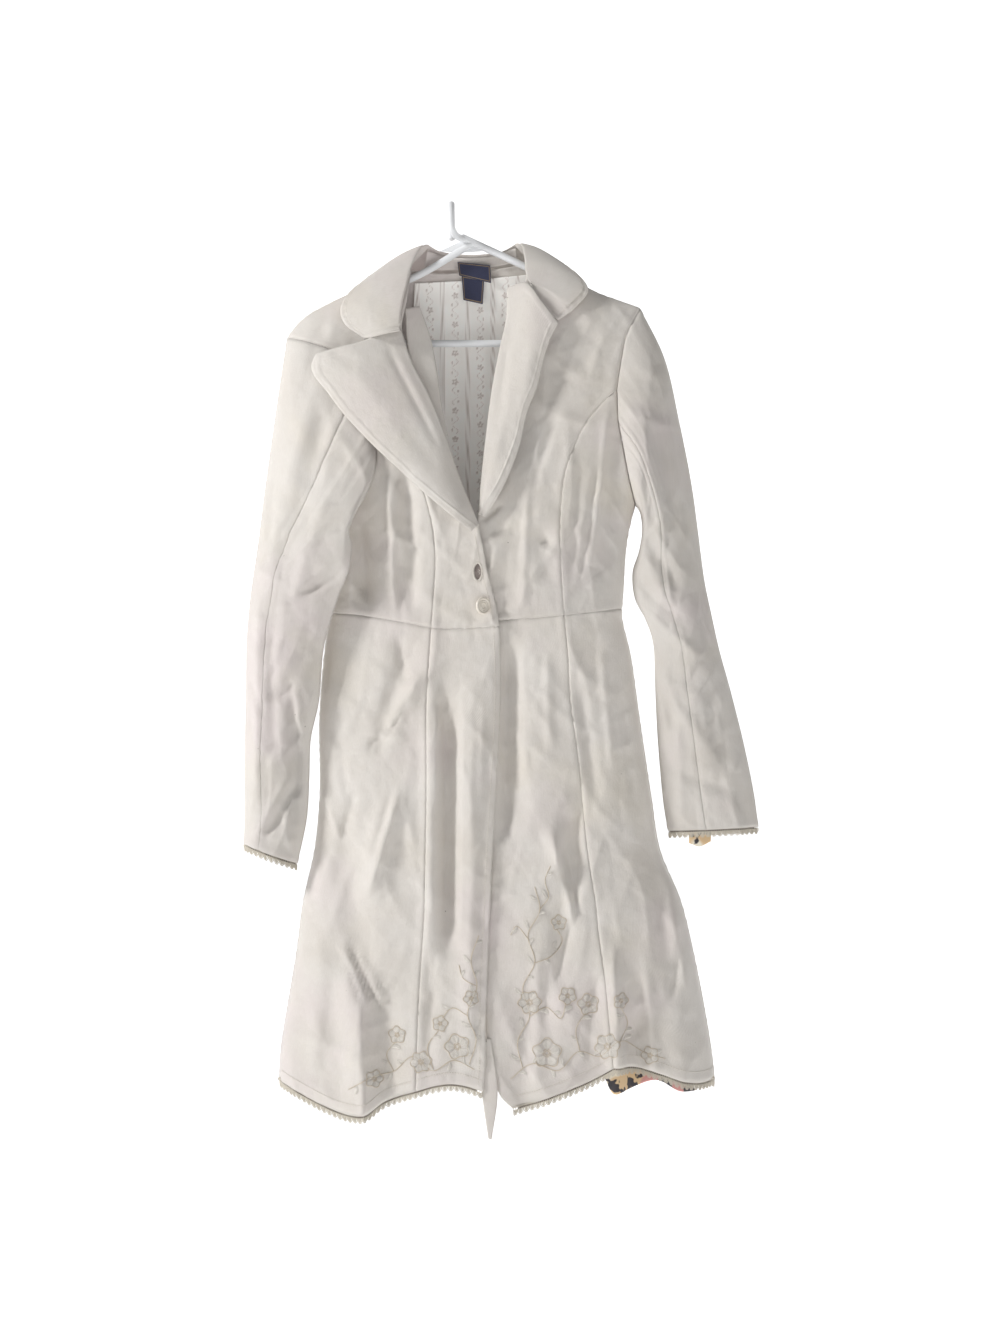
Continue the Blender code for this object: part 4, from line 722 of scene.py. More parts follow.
SLEEVE_LEFT = [
    Ring(224, -119, 0, 217, -352, 0, 0), Ring(253, -180, -4, 225, -366, -6, 18),
    Ring(270, -254, -6, 226, -386, -8, 24), Ring(284, -326, -8, 221, -410, -10, 26),
    Ring(292, -385, -10, 214, -434, -12, 26), Ring(299, -440, -12, 217, -464, -12, 25),
    Ring(307, -480, -14, 230, -490, -12, 24), Ring(317, -525, -14, 239, -520, -12, 24),
    Ring(330, -572, -14, 241, -570, -12, 23), Ring(345, -632, -14, 244, -630, -12, 22),
    Ring(357, -690, -14, 250, -700, -12, 21), Ring(363, -733, -14, 256, -738, -12, 20),
]
SLEEVE_FOLDS = [
    (-180, -560, -178, -690, 7, -3.4), (-178, -564, -172, -616, 5, 2.6),
    (-180, -562, -196, -582, 6, -2.4), (-176, -674, -216, -744, 7, -3.4),
    (-184, -672, -224, -736, 6, 2.6), (-150, -300, -196, -420, 12, -3.0),
    (-134, -330, -176, -470, 9, 2.4), (-120, -430, -180, -470, 8, -3.0), (-128, -452, -196, -478, 6, 2.0),
    (-150, -500, -220, -520, 7, -1.8), (-160, -216, -186, -330, 12, 2.4),
    (-206, -260, -214, -420, 8, -1.8), (-222, -450, -224, -700, 6, 1.5),
    (-206, -480, -202, -640, 7, -2.0), (-160, -620, -210, -660, 6, 2.0), (-196, -700, -184, -760, 6, 1.8),
    (-144, -240, -160, -300, 9, -2.4), (-234, -560, -214, -600, 6, -1.6), (214, -384, 250, -470, 8, 2.8),
    (222, -380, 266, -450, 7, -2.6), (216, -440, 270, -490, 7, -2.8), (228, -480, 290, -530, 7, 2.4),
    (240, -262, 262, -380, 10, -2.4), (252, -200, 268, -330, 9, 2.0), (226, -300, 236, -380, 7, -2.6),
    (236, -530, 262, -610, 6, -2.6), (246, -560, 300, -640, 8, 2.2), (250, -660, 330, -690, 7, -2.0),
    (300, -560, 322, -690, 8, -1.8), (266, -600, 272, -720, 6, 1.8), (286, -390, 300, -500, 7, -1.8),
    (306, -630, 340, -720, 7, 1.6),
]
SLEEVE_BACK_FOLDS = [
    (-150, -300, -200, -430, 12, -2.8), (-130, -430, -220, -470, 9, 2.6),
    (-160, -520, -226, -560, 8, -2.2), (-180, -600, -184, -740, 8, 2.0), (-210, -300, -214, -420, 9, 2.0),
    (220, -400, 280, -470, 9, -2.8), (232, -470, 300, -520, 8, 2.4), (246, -220, 264, -360, 10, 2.2),
    (256, -580, 330, -630, 8, -2.2), (290, -620, 310, -720, 8, 1.8),
]
SLEEVE_ROWS = 130
SLEEVE_FOLD_GAIN = 1.7
SLEEVE_CRUMPLE_GAIN = 1.25
SLEEVE_CRUMPLE_SHIFT = 90.0
ARMHOLE_GAP = 0.3
ARMHOLE_FINE = 5
TOP_SEAM = {"right": (4, 5), "left": (7, 5)}


def sleeve(rings, front_edge, back_edge, down):
    """Front and back half of a sleeve: rings of a flat tube that start at the armhole.

    Each half swells out from the straight line between outer and inner edge, by the ring's
    depth and its folds. The first rows bend from the armhole's own line to straight ones.
    """
    v = np.linspace(0, 1, len(rings))
    t = np.linspace(0, 1, down)
    column = {
        field: smooth(list(zip(v, [getattr(ring, field) for ring in rings])), t) for field in Ring._fields}
    outer = np.stack([column["outer_x"], column["outer_y"], column["outer_z"]], -1)
    inner = np.stack([column["inner_x"], column["inner_y"], column["inner_z"]], -1)
    chord = inner - outer
    flat = np.stack([-chord[:, 1], chord[:, 0], 0 * chord[:, 0]], -1)
    flat /= np.linalg.norm(flat, axis=1, keepdims=True) * np.sign(flat[:, 1:2])
    halves = []
    for place, sign, folds in ((front_edge, -1, SLEEVE_FOLDS), (back_edge, 1, SLEEVE_BACK_FOLDS)):
        edge = body(place[:, 0], place[:, 1], 0.0, 1.0)
        u = np.linspace(0, 1, len(edge))[:, None]
        bow = edge - (outer[0] + u * (inner[0] - outer[0]))
        hold = (1 - step_up(t / 0.34))[:, None, None]
        swell = np.sin(math.pi * u.T) ** 0.7
        grid = outer[:, None] + u[None] * chord[:, None] + hold * bow[None]
        waves = SLEEVE_FOLD_GAIN * relief(folds, grid[..., 0], grid[..., 2])
        shifted = grid[..., 0] + SLEEVE_CRUMPLE_SHIFT * sign
        waves = waves + SLEEVE_CRUMPLE_GAIN * crumple(shifted, grid[..., 2])
        waves = waves * step_up(swell / 0.7) * step_up(t / 0.1)[:, None]
        high = column["depth"][:, None] * swell + waves
        halves.append(grid + sign * high[..., None] * flat[:, None])
    return halves


def add_sleeve(side, rings, front_edge, back_edge, flats):
    """Top sleeve round the outer edge, under sleeve round the inner edge; gives the cuff's ring."""
    front, rear = sleeve(rings, front_edge, back_edge, SLEEVE_ROWS)
    ring = np.concatenate([front, rear[:, -2:0:-1]], axis=1)
    run = ring[1] - ring[0]
    size = np.maximum(np.linalg.norm(run, axis=-1, keepdims=True), 1e-6)
    ring[0] += run / size * np.minimum(0.4 * size, ARMHOLE_GAP)
    count = ring.shape[1]
    wrapped = np.concatenate([ring[:, -1:], ring, ring[:, :1]], axis=1)
    normal = grid_normals(wrapped)[:, 1:-1] * (1.0 if side == "left" else -1.0)
    seam_front, seam_back = (ARMHOLE_FINE * share for share in TOP_SEAM[side])
    under = np.arange(seam_front, count - seam_back + 1)
    top = np.arange(count - seam_back, count + seam_front + 1) % count
    for name, columns, flat in (("top", top, flats[0]), ("under", under, flats[1])):
        node = "sleeve_%s_%s" % (side, name)
        outer = seam_dress(ring[:, columns], normal[:, columns])
        piece = add_wall(node + "_cloth", outer, outer - normal[:, columns] * WALL, COTTON)
        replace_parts(piece, node)
    return np.concatenate([ring[-1], ring[-1, :1]])


def armhole(line, low, is_back):
    """The front or back half of an armhole, from the shoulder point to the underarm."""
    side = "side_right" if line[0][0] < 0 else "side_left"
    across = ACROSS["side_back" if is_back else side]
    return join(
        seam(line, finer(SHOULDER_ROWS, ARMHOLE_FINE), is_back, 1.3),
        seam(low, finer(across, ARMHOLE_FINE), is_back))


cuff_right = add_sleeve(
    "right", SLEEVE_RIGHT, armhole(ARMHOLE_RIGHT, ARMHOLE_RIGHT_LOW, False),
    armhole(BACK_ARMHOLE_RIGHT, BACK_ARMHOLE_RIGHT_LOW, True), ((0.16, 0.63), (0.20, 0.45)))
cuff_left = add_sleeve(
    "left", SLEEVE_LEFT, armhole(ARMHOLE_LEFT, ARMHOLE_LEFT_LOW, False),
    armhole(BACK_ARMHOLE_LEFT, BACK_ARMHOLE_LEFT_LOW, True), ((0.17, 0.63), (0.14, 0.45)))

# The lapels, the facing that shows behind the right one, and the collar. Each is two layers
# of the same twill turned at the edge and topstitched; the lapels roll back from the front.
LAPEL_STITCH = 8.0
COLLAR_STITCH = 6.0
GROOVE = namedtuple("Groove", "depth width")(0.85, 1.1)


def laid_on(points, lift, lap=0.0, creases=0.0, back=False):
    """Front view x and z laid on the body's front, or its back, and moved to the front by lift."""
    points = np.asarray(points, float)
    place = turn(points.reshape(-1, 2), back)
    face = body(place[:, 0], place[:, 1], lap, creases).reshape(points.shape[:-1] + (3,))
    face[..., 0] = points[..., 0]
    face[..., 1] -= lift
    return face


def stitch_groove(away, at):
    """How deep topstitching draws the cloth in, where the thread runs that far from the edge."""
    return GROOVE.depth * np.exp(-(((away - at) / GROOVE.width) ** 2))


def flat_patch(top, bottom, near, far, across, down):
    """A grid in the front view between four lines of x and z."""
    u = np.linspace(0, 1, across)
    v = np.linspace(0, 1, down)
    return patch(along(top, u), along(bottom, u), along(near, v), along(far, v))


def add_soft(node, outer, normal, wall, made_of):
    """A cloth piece with its own grid, its faces rounded into each other along its edges."""
    away = np.minimum.reduce(from_edges(outer))
    tuck = 0.45 * wall * np.exp(-((away / (0.7 * wall)) ** 2))[..., None]
    piece = add_wall(node + "_cloth", outer - normal * tuck, outer - normal * (wall - tuck), made_of)
    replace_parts(piece, node)
    return piece


LAPEL_WAVES = [
    (-76, -166, -18, -280, 6, -2.2), (-66, -170, -10, -284, 6, 1.6), (-120, -190, -70, -250, 12, 1.6),
    (-60, -250, -20, -310, 10, -1.4), (70, -130, 56, -260, 6, -1.0), (100, -150, 72, -270, 9, 1.4),
    (86, -200, 60, -300, 7, -1.3), (-140, -176, -110, -190, 7, -1.2), (-30, -200, 0, -270, 7, 1.2),
]


def add_lapel(node, top, bottom, roll, edge, lifts, lap, facing):
    """A turned lapel: it springs up at the roll and settles towards its free edge."""
    across, down = 57, 110
    grid = flat_patch(top, bottom, roll, edge, across, down)
    u = np.linspace(0, 1, across)[None, :]
    lift = lifts[0] * (1 - u) ** 2 + lifts[1] * 2 * u * (1 - u) + lifts[2] * u ** 2
    fade = step_up((np.linspace(1, 0, down)[:, None]) / 0.12) * 0.65 + 0.35
    waves = relief(LAPEL_WAVES, grid[..., 0], grid[..., 1]) * step_up(u / 0.2) * step_up((1 - u) / 0.2)
    outer = laid_on(grid, lift * fade + WALL + 0.3 + np.maximum(waves, -0.4 * lift), lap)
    normal = grid_normals(outer) * facing
    top_away, _, _, edge_away = from_edges(outer)
    pressed = stitch_groove(np.minimum(edge_away, top_away), LAPEL_STITCH)
    run = np.arange(1.0, down + 1.0)[:, None]
    pucker = 0.3 * np.sin(run * 0.9 + 2.0 * np.sin(run * 0.17))
    pucker = pucker * np.exp(-(((edge_away - LAPEL_STITCH) / 4.0) ** 2))
    outer = outer + normal * (pucker - pressed)[..., None]
    add_soft(node, outer, normal, WALL, COTTON_TURNED)
    return outer


lapel_right = add_lapel(
    "lapel_right", [(-59, -147), (-84, -154), (-104, -163), (-131, -170), (-158, -177)],
    [(33, -379), (24, -386)], [(-59, -147), (-46, -186), (-27, -223), (-6, -276), (11, -326), (33, -379)],
    [(-158, -177), (-163, -190), (-142, -226), (-92, -284), (-60, -314), (-25, -346), (24, -386)],
    (-1.6, 22.0, 15.0), 0.0, -1.0)
lapel_left = add_lapel(
    "lapel_left", [(66, -98), (87, -92), (106, -114), (126, -141)], [(33, -366), (40, -369)],
    [(66, -98), (65, -134), (58, -167), (50, -208), (41, -276), (36, -325), (33, -366)],
    [(126, -141), (116, -161), (109, -182), (100, -218), (89, -246), (80, -286), (60, -336), (40, -369)],
    (-0.6, 14.0, 9.0), LAP, 1.0)

facing_flat = flat_patch(
    [(-54, -122), (-37, -118)], [(-6, -272), (-2, -274)], [(-54, -122), (-47, -186), (-28, -223), (-6, -272)],
    [(-37, -118), (-24, -156), (-17, -190), (-11, -232), (-2, -274)], 16, 90)
facing = laid_on(facing_flat, -WALL - 1.0 - np.linspace(0.0, 8.0, 16)[None, :])
add_soft(
    "facing_right", facing, -grid_normals(facing), WALL, COTTON)

Collar = namedtuple("Collar", "seam_x seam_y seam_z fold_x fold_y fold_z edge_x edge_y edge_z")
COLLAR_LINES = [
    Collar(-55, -33, -127, -59, -44, -151, -101, -42, -161),
    Collar(-53, -26, -108, -58, -42, -127, -125, -36, -142),
    Collar(-50, -18, -94, -52, -36, -97, -130, -30, -120),
    Collar(-46, -6, -82, -44, -24, -66, -116, -20, -98), Collar(-38, 8, -76, -32, -6, -44, -84, 8, -78),
    Collar(-16, 16, -75, -12, 9, -50, -46, 37, -92), Collar(20, 19, -73, 22, 14, -53, 22, 40, -106),
    Collar(56, 17, -70, 58, 10, -50, 86, 38, -88), Collar(84, 8, -66, 80, -4, -42, 118, 14, -62),
    Collar(94, -8, -70, 86, -18, -60, 148, -10, -78), Collar(94, -16, -82, 87, -24, -76, 162, -22, -100),
    Collar(92, -22, -90, 90, -28, -88, 146, -30, -122),
    Collar(96, -26, -96, 96, -32, -95, 126, -33, -137),
]
COLLAR_COLUMNS = 193
STAND_SHORTER = 64
LEAF_ROWS = 45


def collar_line(part):
    """One of the collar's three lines as smooth points."""
    place = np.linspace(0, 1, len(COLLAR_LINES))
    fields = [part + "_x", part + "_y", part + "_z"]
    columns = [list(zip(place, [getattr(row, field) for row in COLLAR_LINES])) for field in fields]
    return np.stack([smooth(column, np.linspace(0, 1, COLLAR_COLUMNS)) for column in columns], -1)


neck, fold, edge = collar_line("seam"), collar_line("fold"), collar_line("edge")
leaf_v = np.linspace(0, 1, LEAF_ROWS)[:, None, None]
leaf_out = np.cross(np.gradient(fold, axis=0), edge - fold)
leaf_out /= np.linalg.norm(leaf_out, axis=1, keepdims=True)
leaf_out *= np.where(leaf_out[:, 1:2] * np.where(fold[:, 1:2] > 0, 1, -1) < 0, -1, 1)
leaf = fold[None] + leaf_v * (edge - fold)[None] + 5.0 * np.sin(math.pi * leaf_v) ** 0.8 * leaf_out[None]
leaf_normal = grid_normals(leaf)
_, leaf_low, leaf_near, leaf_far = from_edges(leaf)
leaf_away = np.minimum(leaf_low, np.minimum(leaf_near, leaf_far))
leaf_run = np.arange(COLLAR_COLUMNS)[None, :] * 2.1
leaf_press = -stitch_groove(leaf_away, COLLAR_STITCH)
leaf_pucker = 0.3 * np.sin(leaf_run * 0.5 + np.sin(leaf_run * 0.13))
leaf_press += leaf_pucker * np.exp(-(((leaf_away - 5.0) / 4.0) ** 2))
leaf_press += 0.7 * np.sin(leaf_run * 0.045 + 1.0) * np.sin(math.pi * leaf_v[..., 0])
leaf = leaf + leaf_normal * leaf_press[..., None]
add_soft("collar_leaf", leaf, leaf_normal, WALL, COTTON_TURNED)

stand_in = np.array([CENTRE_X, 0, 0]) - fold
stand_in[:, 2] = 0
stand_in /= np.linalg.norm(stand_in, axis=1, keepdims=True)
stand_w = np.linspace(0.14, 1, 18)[:, None, None]
stand = neck[None] + 0.73 * stand_w * (fold - neck)[None] + (4.4 + stand_w) * stand_in[None]
stand = stand[:, STAND_SHORTER:COLLAR_COLUMNS - STAND_SHORTER]
add_soft(
    "collar_stand", stand, grid_normals(stand), WALL, COTTON)

# The lining of the upper back, where it shows inside the neck: a smooth cream cotton with
# woven double stripes and small taupe blossoms and leaf scrolls, sewn in below the collar.
LINING_CREAM = (0.91, 0.89, 0.855)
LINING_TAUPE = (0.31, 0.22, 0.19)
STRIPE_PITCH = 30.0
SPRIG_PITCH = 34.0


def lining_print(x, z):
    """How much taupe ink lies at a place: double stripes, and blossoms and scrolls between them."""
    column = np.floor(x / STRIPE_PITCH)
    across = x - (column + 0.5) * STRIPE_PITCH
    edge_away = STRIPE_PITCH / 2 - np.abs(across)
    ink = 0.55 * np.exp(-(((edge_away - 0.6) / 0.35) ** 2))
    ink = ink + 0.45 * np.exp(-(((edge_away - 2.2) / 0.35) ** 2))
    shifted = z + np.where(column % 2 == 0, 0.0, SPRIG_PITCH / 2)
    row = np.floor(shifted / SPRIG_PITCH)
    up = shifted - (row + 0.5) * SPRIG_PITCH
    way = np.where(row % 2 == 0, 1.0, -1.0)
    radius = np.hypot(across, up)
    angle = np.arctan2(up, across)
    petals = 3.6 + 0.9 * np.cos(5 * angle + row)
    ink = np.maximum(ink, 0.55 * step_up((petals - radius) / 0.7))
    ink = np.where((radius < 1.5) & (radius > 0.8), 0.15, ink)
    for side in (-1.0, 1.0):
        away_up = side * up - 6.0
        curl = across - way * side * 3.4 * np.sin(np.clip(away_up, 0, 10.5) * 0.42)
        line = np.exp(-((curl / 0.55) ** 2)) * (away_up > 0) * (away_up < 10.5)
        leaf = np.hypot((across + way * side * 3.6) / 1.1, (away_up - 5.0) / 2.4)
        ink = np.maximum(ink, 0.5 * line)
        ink = np.maximum(ink, 0.5 * step_up((1.0 - leaf) / 0.3))
    return ink


def ink_layer(obj, share):
    """The print's share of ink at each point, kept on the mesh for its material."""
    layer = obj.data.attributes.new("ink", "FLOAT", "POINT")
    layer.data.foreach_set("value", share.astype(np.float32).ravel())


def ink_node(tree):
    """The ink kept on the mesh, as a value."""
    node = tree.nodes.new("ShaderNodeAttribute")
    node.attribute_name = "ink"
    return node.outputs["Fac"]


def lining_material():
    """Cream printed cotton with a faint satin gloss and a fine even weave; it also glows faintly in its own
    colour, which is painted light.
    """
    made, tree, shader = new_material("printed cotton lining", 0.55, 0.1)
    place = tree.nodes.new("ShaderNodeTexCoord").outputs["Object"]
    ground = ramp(tree, noise(tree, place, 40.0), 0.35, 0.7, (LINING_CREAM, (0.87, 0.84, 0.80)))
    printed = blend(tree, "MIX", ink_node(tree), ground, LINING_TAUPE)
    tree.links.new(printed, shader.inputs["Base Color"])
    # The faint glow is painted light: it brightens the lining inside the shaded neck, standing in for light
    # coming through the thin cloth.
    tree.links.new(printed, shader.inputs["Emission Color"])
    shader.inputs["Emission Strength"].default_value = 0.13
    weave = bump(tree, noise(tree, place, 1500.0, 1.0), 0.0001, 0.5)
    tree.links.new(bump(tree, noise(tree, place, 30.0, 3.0), 0.003, 0.5, weave), shader.inputs["Normal"])
    return made


LINING = lining_material()
LINING_FOLDS = [
    (-8, -100, -10, -390, 7, 2.6), (8, -110, 4, -390, 6, -1.2), (40, -120, 34, -390, 8, 2.4),
    (66, -90, 62, -300, 7, -1.2), (-30, -140, -20, -330, 6, 1.4),
]


lining_flat = flat_patch(
    [(-44, -88), (CENTRE_X, -84), (90, -78)], [(-36, -400), (CENTRE_X, -402), (96, -400)],
    [(-44, -88), (-50, -240), (-36, -400)], [(90, -78), (104, -240), (96, -400)], 127, 232)
lining_face = laid_on(lining_flat, WALL + 3.2, back=True)
lining_face[..., 1] -= relief(LINING_FOLDS, lining_flat[..., 0], lining_flat[..., 1])
lining_piece = add_wall("lining_back_cloth", lining_face, lining_face + np.array([0.0, 1.2, 0.0]), LINING)
lining_ink = lining_print(lining_flat[..., 0] - CENTRE_X + 4.0, lining_flat[..., 1])
ink_layer(lining_piece, np.concatenate([lining_ink.ravel(), lining_ink.ravel()]))
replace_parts(lining_piece, "lining_back")

# The printed cotton that peeks out below the left hem and the left cuff: large patches of
# ochre, rose and near black on cream, on the ends of the lining that have slipped down.
PRINT_CREAM = (0.80, 0.73, 0.60)
PRINT_OCHRE = (0.72, 0.52, 0.30)
PRINT_ROSE = (0.62, 0.30, 0.27)
PRINT_DARK = (0.035, 0.03, 0.035)


def patch_material():
    """Loose patches of colour on cream cotton, with near black shapes between them."""
    made, tree, shader = new_material("patch printed lining", 0.6, 0.1)
    place = tree.nodes.new("ShaderNodeTexCoord").outputs["Object"]
    wide = noise(tree, place, 26.0, 2.0)
    warm = ramp(tree, wide, 0.42, 0.47, (PRINT_CREAM, PRINT_OCHRE))
    rose = ramp(tree, noise(tree, place, 17.0, 1.0), 0.54, 0.57, (BLACK, WHITE))
    colour = blend(tree, "MIX", rose, warm, PRINT_ROSE)
    dark = ramp(tree, noise(tree, place, 60.0, 2.0), 0.53, 0.56, (BLACK, WHITE))
    tree.links.new(blend(tree, "MIX", dark, colour, PRINT_DARK), shader.inputs["Base Color"])
    weave = bump(tree, noise(tree, place, 1500.0, 1.0), 0.0001, 0.5)
    tree.links.new(weave, shader.inputs["Normal"])
    return made


PATCHED = patch_material()
hem_lining = flat_patch(
    [(176, -962), (230, -966), (270, -970)],
    [(178, -1020), (190, -1040), (208, -1036), (240, -1026), (270, -1040), (286, -1040)],
    [(176, -962), (178, -1020)], [(270, -970), (286, -1040)], 90, 60)
hem_face = laid_on(hem_lining, -WALL - np.linspace(3.6, 8.0, 60)[:, None])
add_soft(
    "hem_lining_left", hem_face, -grid_normals(hem_face), 1.2, PATCHED)
cuff_flat = flat_patch(
    [(280, -700), (308, -700)], [(280, -752), (292, -756), (306, -750)], [(280, -700), (280, -752)],
    [(308, -700), (306, -750)], 30, 50)
cuff_face = np.stack([cuff_flat[..., 0], np.full(cuff_flat.shape[:2], -24.6), cuff_flat[..., 1]], -1)
add_soft(
    "cuff_lining_left", cuff_face, -grid_normals(cuff_face), 1.2, PATCHED)

# The loose end of the right front facing, a narrow strip of twill that has twisted out
# below the front edge. It is turned and pressed like the edge above it.
tip_flat = flat_patch(
    [(35, -975), (47, -975)], [(44, -1090), (48, -1091)], [(35, -975), (37, -1040), (44, -1090)],
    [(47, -975), (55, -1040), (48, -1091)], 14, 70)
tip_face = laid_on(tip_flat, -2.5)
add_soft(
    "front_facing_tip", tip_face, -grid_normals(tip_face), 1.2, COTTON_TURNED)

# Two woven labels sewn to the lining at the back of the neck: navy satin with a plain gold
# line woven round the edge, no words.
LABEL_NAVY = (0.006, 0.009, 0.038)
LABEL_GOLD = (0.50, 0.35, 0.14)


def label_material():
    """Navy satin weave with the gold border where the ink is."""
    made, tree, shader = new_material("navy woven label", 0.5, 0.2)
    place = tree.nodes.new("ShaderNodeTexCoord").outputs["UV"]
    ground = ramp(tree, noise(tree, place, 900.0), 0.3, 0.7, (LABEL_NAVY, (0.015, 0.02, 0.075)))
    tree.links.new(blend(tree, "MIX", ink_node(tree), ground, LABEL_GOLD), shader.inputs["Base Color"])
    rows = tree.nodes.new("ShaderNodeTexWave")
    rows.bands_direction = "Y"
    rows.inputs["Scale"].default_value = 520.0
    tree.links.new(place, rows.inputs["Vector"])
    tree.links.new(bump(tree, rows.outputs["Fac"], 0.0002, 0.5), shader.inputs["Normal"])
    return made


LABEL = label_material()


def add_label(node, corners, depth, bow):
    """A small label at the back of the neck, bowed a little; corners run round it from top left."""
    top_left, top_right, low_right, low_left = corners
    across, down = 56, 36
    grid = flat_patch(
        [top_left, top_right], [low_left, low_right], [top_left, low_left], [top_right, low_right],
        across, down)
    u = np.linspace(-1, 1, across)[None, :]
    v = np.linspace(-1, 1, down)[:, None]
    y = depth - bow * (1 - u ** 2) * (0.4 + 0.6 * (1 - v) / 2)
    face = np.stack([grid[..., 0], y, grid[..., 1]], -1)
    piece = add_wall(node + "_cloth", face, face + np.array([0.0, 1.0, 0.0]), LABEL)
    away = np.minimum.reduce(from_edges(face))
    ink = 0.7 * np.exp(-(((away - 1.6) / 0.3) ** 2))
    ink_layer(piece, np.concatenate([ink.ravel(), ink.ravel()]))
    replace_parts(piece, node)


add_label("label_main", [(7, -63), (46, -67), (47, -88), (9, -79)], 8.1, 0.8)
add_label("label_size", [(12, -79), (39, -83), (37, -113), (14, -108)], 9.3, 0.4)

# The lower button, moulded in a bone colour with turned rings and sewn on a thread shank.
# Above it is the worked buttonhole: cut through, edged with close stitches, a few loose
# threads across a dark taupe sheet behind it, which is painted shade for the shaded cloth seen through it.
BUTTON_AT = (38.0, -473.0)
BUTTON_TURN = math.radians(38)
BUTTON_STANDS = 7.9
BUTTON_PROFILE = [
    (0.0, -6.0), (1.8, -6.0), (1.8, -2.3), (8.6, -2.1), (9.7, -1.5), (10.3, -0.5), (10.25, 0.4),
    (9.9, 1.1), (9.2, 1.5), (8.3, 1.6), (7.7, 1.3), (7.2, 0.5), (6.6, 0.35), (6.2, 0.9), (5.7, 1.0),
    (5.2, 0.4), (4.6, 0.15), (4.1, 0.7), (3.6, 0.75), (3.2, 0.2), (2.2, 0.0), (0.0, -0.1),
]
BONE = (0.80, 0.75, 0.67)
BONE_DEEP = (0.70, 0.635, 0.54)


def bone_material():
    """Bone coloured plastic, slightly streaked with a deeper tone."""
    made, tree, shader = new_material("bone coloured button", 0.32)
    place = tree.nodes.new("ShaderNodeTexCoord").outputs["Object"]
    streak = noise(tree, place, 220.0, 4.0)
    tree.links.new(ramp(tree, streak, 0.3, 0.7, (BONE, BONE_DEEP)), shader.inputs["Base Color"])
    tree.links.new(bump(tree, streak, 0.0002, 0.3), shader.inputs["Normal"])
    return made


button_face = laid_on(np.array([[BUTTON_AT]]), 0.0)[0, 0]
button_turn = np.arange(64) * 2 * math.pi / 64
radius = np.array([row[0] for row in BUTTON_PROFILE])[:, None]
height = np.array([row[1] for row in BUTTON_PROFILE])[:, None]
local = np.stack([radius * np.cos(button_turn), -height + 0 * button_turn, radius * np.sin(button_turn)], -1)
turned = np.stack([
    local[..., 0] * math.cos(BUTTON_TURN) - local[..., 1] * math.sin(BUTTON_TURN),
    local[..., 0] * math.sin(BUTTON_TURN) + local[..., 1] * math.cos(BUTTON_TURN), local[..., 2]], -1)
turned = turned + np.array([BUTTON_AT[0], button_face[1] - BUTTON_STANDS, BUTTON_AT[1]])
button = add_mesh(
    "button_moulded", turned.reshape(-1, 3), quads(len(BUTTON_PROFILE), 64, True)[:, ::-1], bone_material())
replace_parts(button, "button_lower")


def thread_material(name, colour, roughness=0.6):
    """Twisted cotton thread with a soft gloss."""
    made, tree, shader = new_material(name, roughness, 0.3)
    place = tree.nodes.new("ShaderNodeTexCoord").outputs["Object"]
    tint = tuple(0.88 * part for part in colour)
    streak = noise(tree, place, 1600.0, 2.0)
    tree.links.new(ramp(tree, streak, 0.3, 0.7, (colour, tint)), shader.inputs["Base Color"])
    tree.links.new(bump(tree, streak, 0.0002, 0.6), shader.inputs["Normal"])
    return made


THREAD = thread_material("cream sewing thread", (0.76, 0.71, 0.64))
SILK = thread_material("beige embroidery thread", (0.64, 0.545, 0.42), 0.42)
SILK_PALE = thread_material("pale embroidery thread", (0.88, 0.835, 0.77), 0.42)


def strand_faces(strands, rings, sides):
    """The faces of many short rods of the same number of rings, open at both ends."""
    one = quads(rings, sides, True)
    return (one[None] + (np.arange(strands) * rings * sides)[:, None, None]).reshape(-1, 4)


def add_rods(name, paths, radius, made_of, sides=5):
    """Many thin rods of one radius in one mesh: paths has a row of points for each of them."""
    paths = np.asarray(paths, float)
    run = np.gradient(paths, axis=1)
    run /= np.maximum(np.linalg.norm(run, axis=-1, keepdims=True), 1e-9)
    first = np.cross(run, np.array([0.0, 1.0, 0.0]))
    first /= np.maximum(np.linalg.norm(first, axis=-1, keepdims=True), 1e-9)
    second = np.cross(run, first)
    angle = np.arange(sides) * 2 * math.pi / sides
    radius = np.broadcast_to(np.asarray(radius, float), paths.shape[:2])[..., None, None]
    ring = np.cos(angle)[:, None] * first[:, :, None] + np.sin(angle)[:, None] * second[:, :, None]
    points = (paths[:, :, None] + radius * ring).reshape(-1, 3)
    piece = add_mesh(name, points, strand_faces(len(paths), paths.shape[1], sides), made_of)
    return piece


EYE_STITCHES = 72
STITCH_REACH = 2.0
INSIDE_REACH = 0.9
INSIDE_PAINTED_SHADE = (0.28, 0.235, 0.215)
eye_turn = np.arange(EYE_STITCHES) * 2 * math.pi / EYE_STITCHES


def eye_oval(grow, share=1.0):
    """Points round the buttonhole, that much outside its edge, at a share of the way to there."""
    x = BUTTONHOLE_AT[0] + (BUTTONHOLE[0] / 2 + grow) * share * np.sin(eye_turn)
    z = BUTTONHOLE_AT[1] + (BUTTONHOLE[1] / 2 + grow) * share * np.cos(eye_turn)
    return np.stack([x, z], -1)


eye_share = np.linspace(0, 1, 5)[None, :, None]
eye_paths = eye_oval(0.0)[:, None] * (1 - eye_share) + eye_oval(STITCH_REACH)[:, None] * eye_share
eye_paths = laid_on(eye_paths, 0.1, creases=1.0)
eye_paths[..., 1] -= 0.5 * np.sin(math.pi * eye_share[..., 0])
add_rods("buttonhole_stitches", eye_paths, 0.42, THREAD)
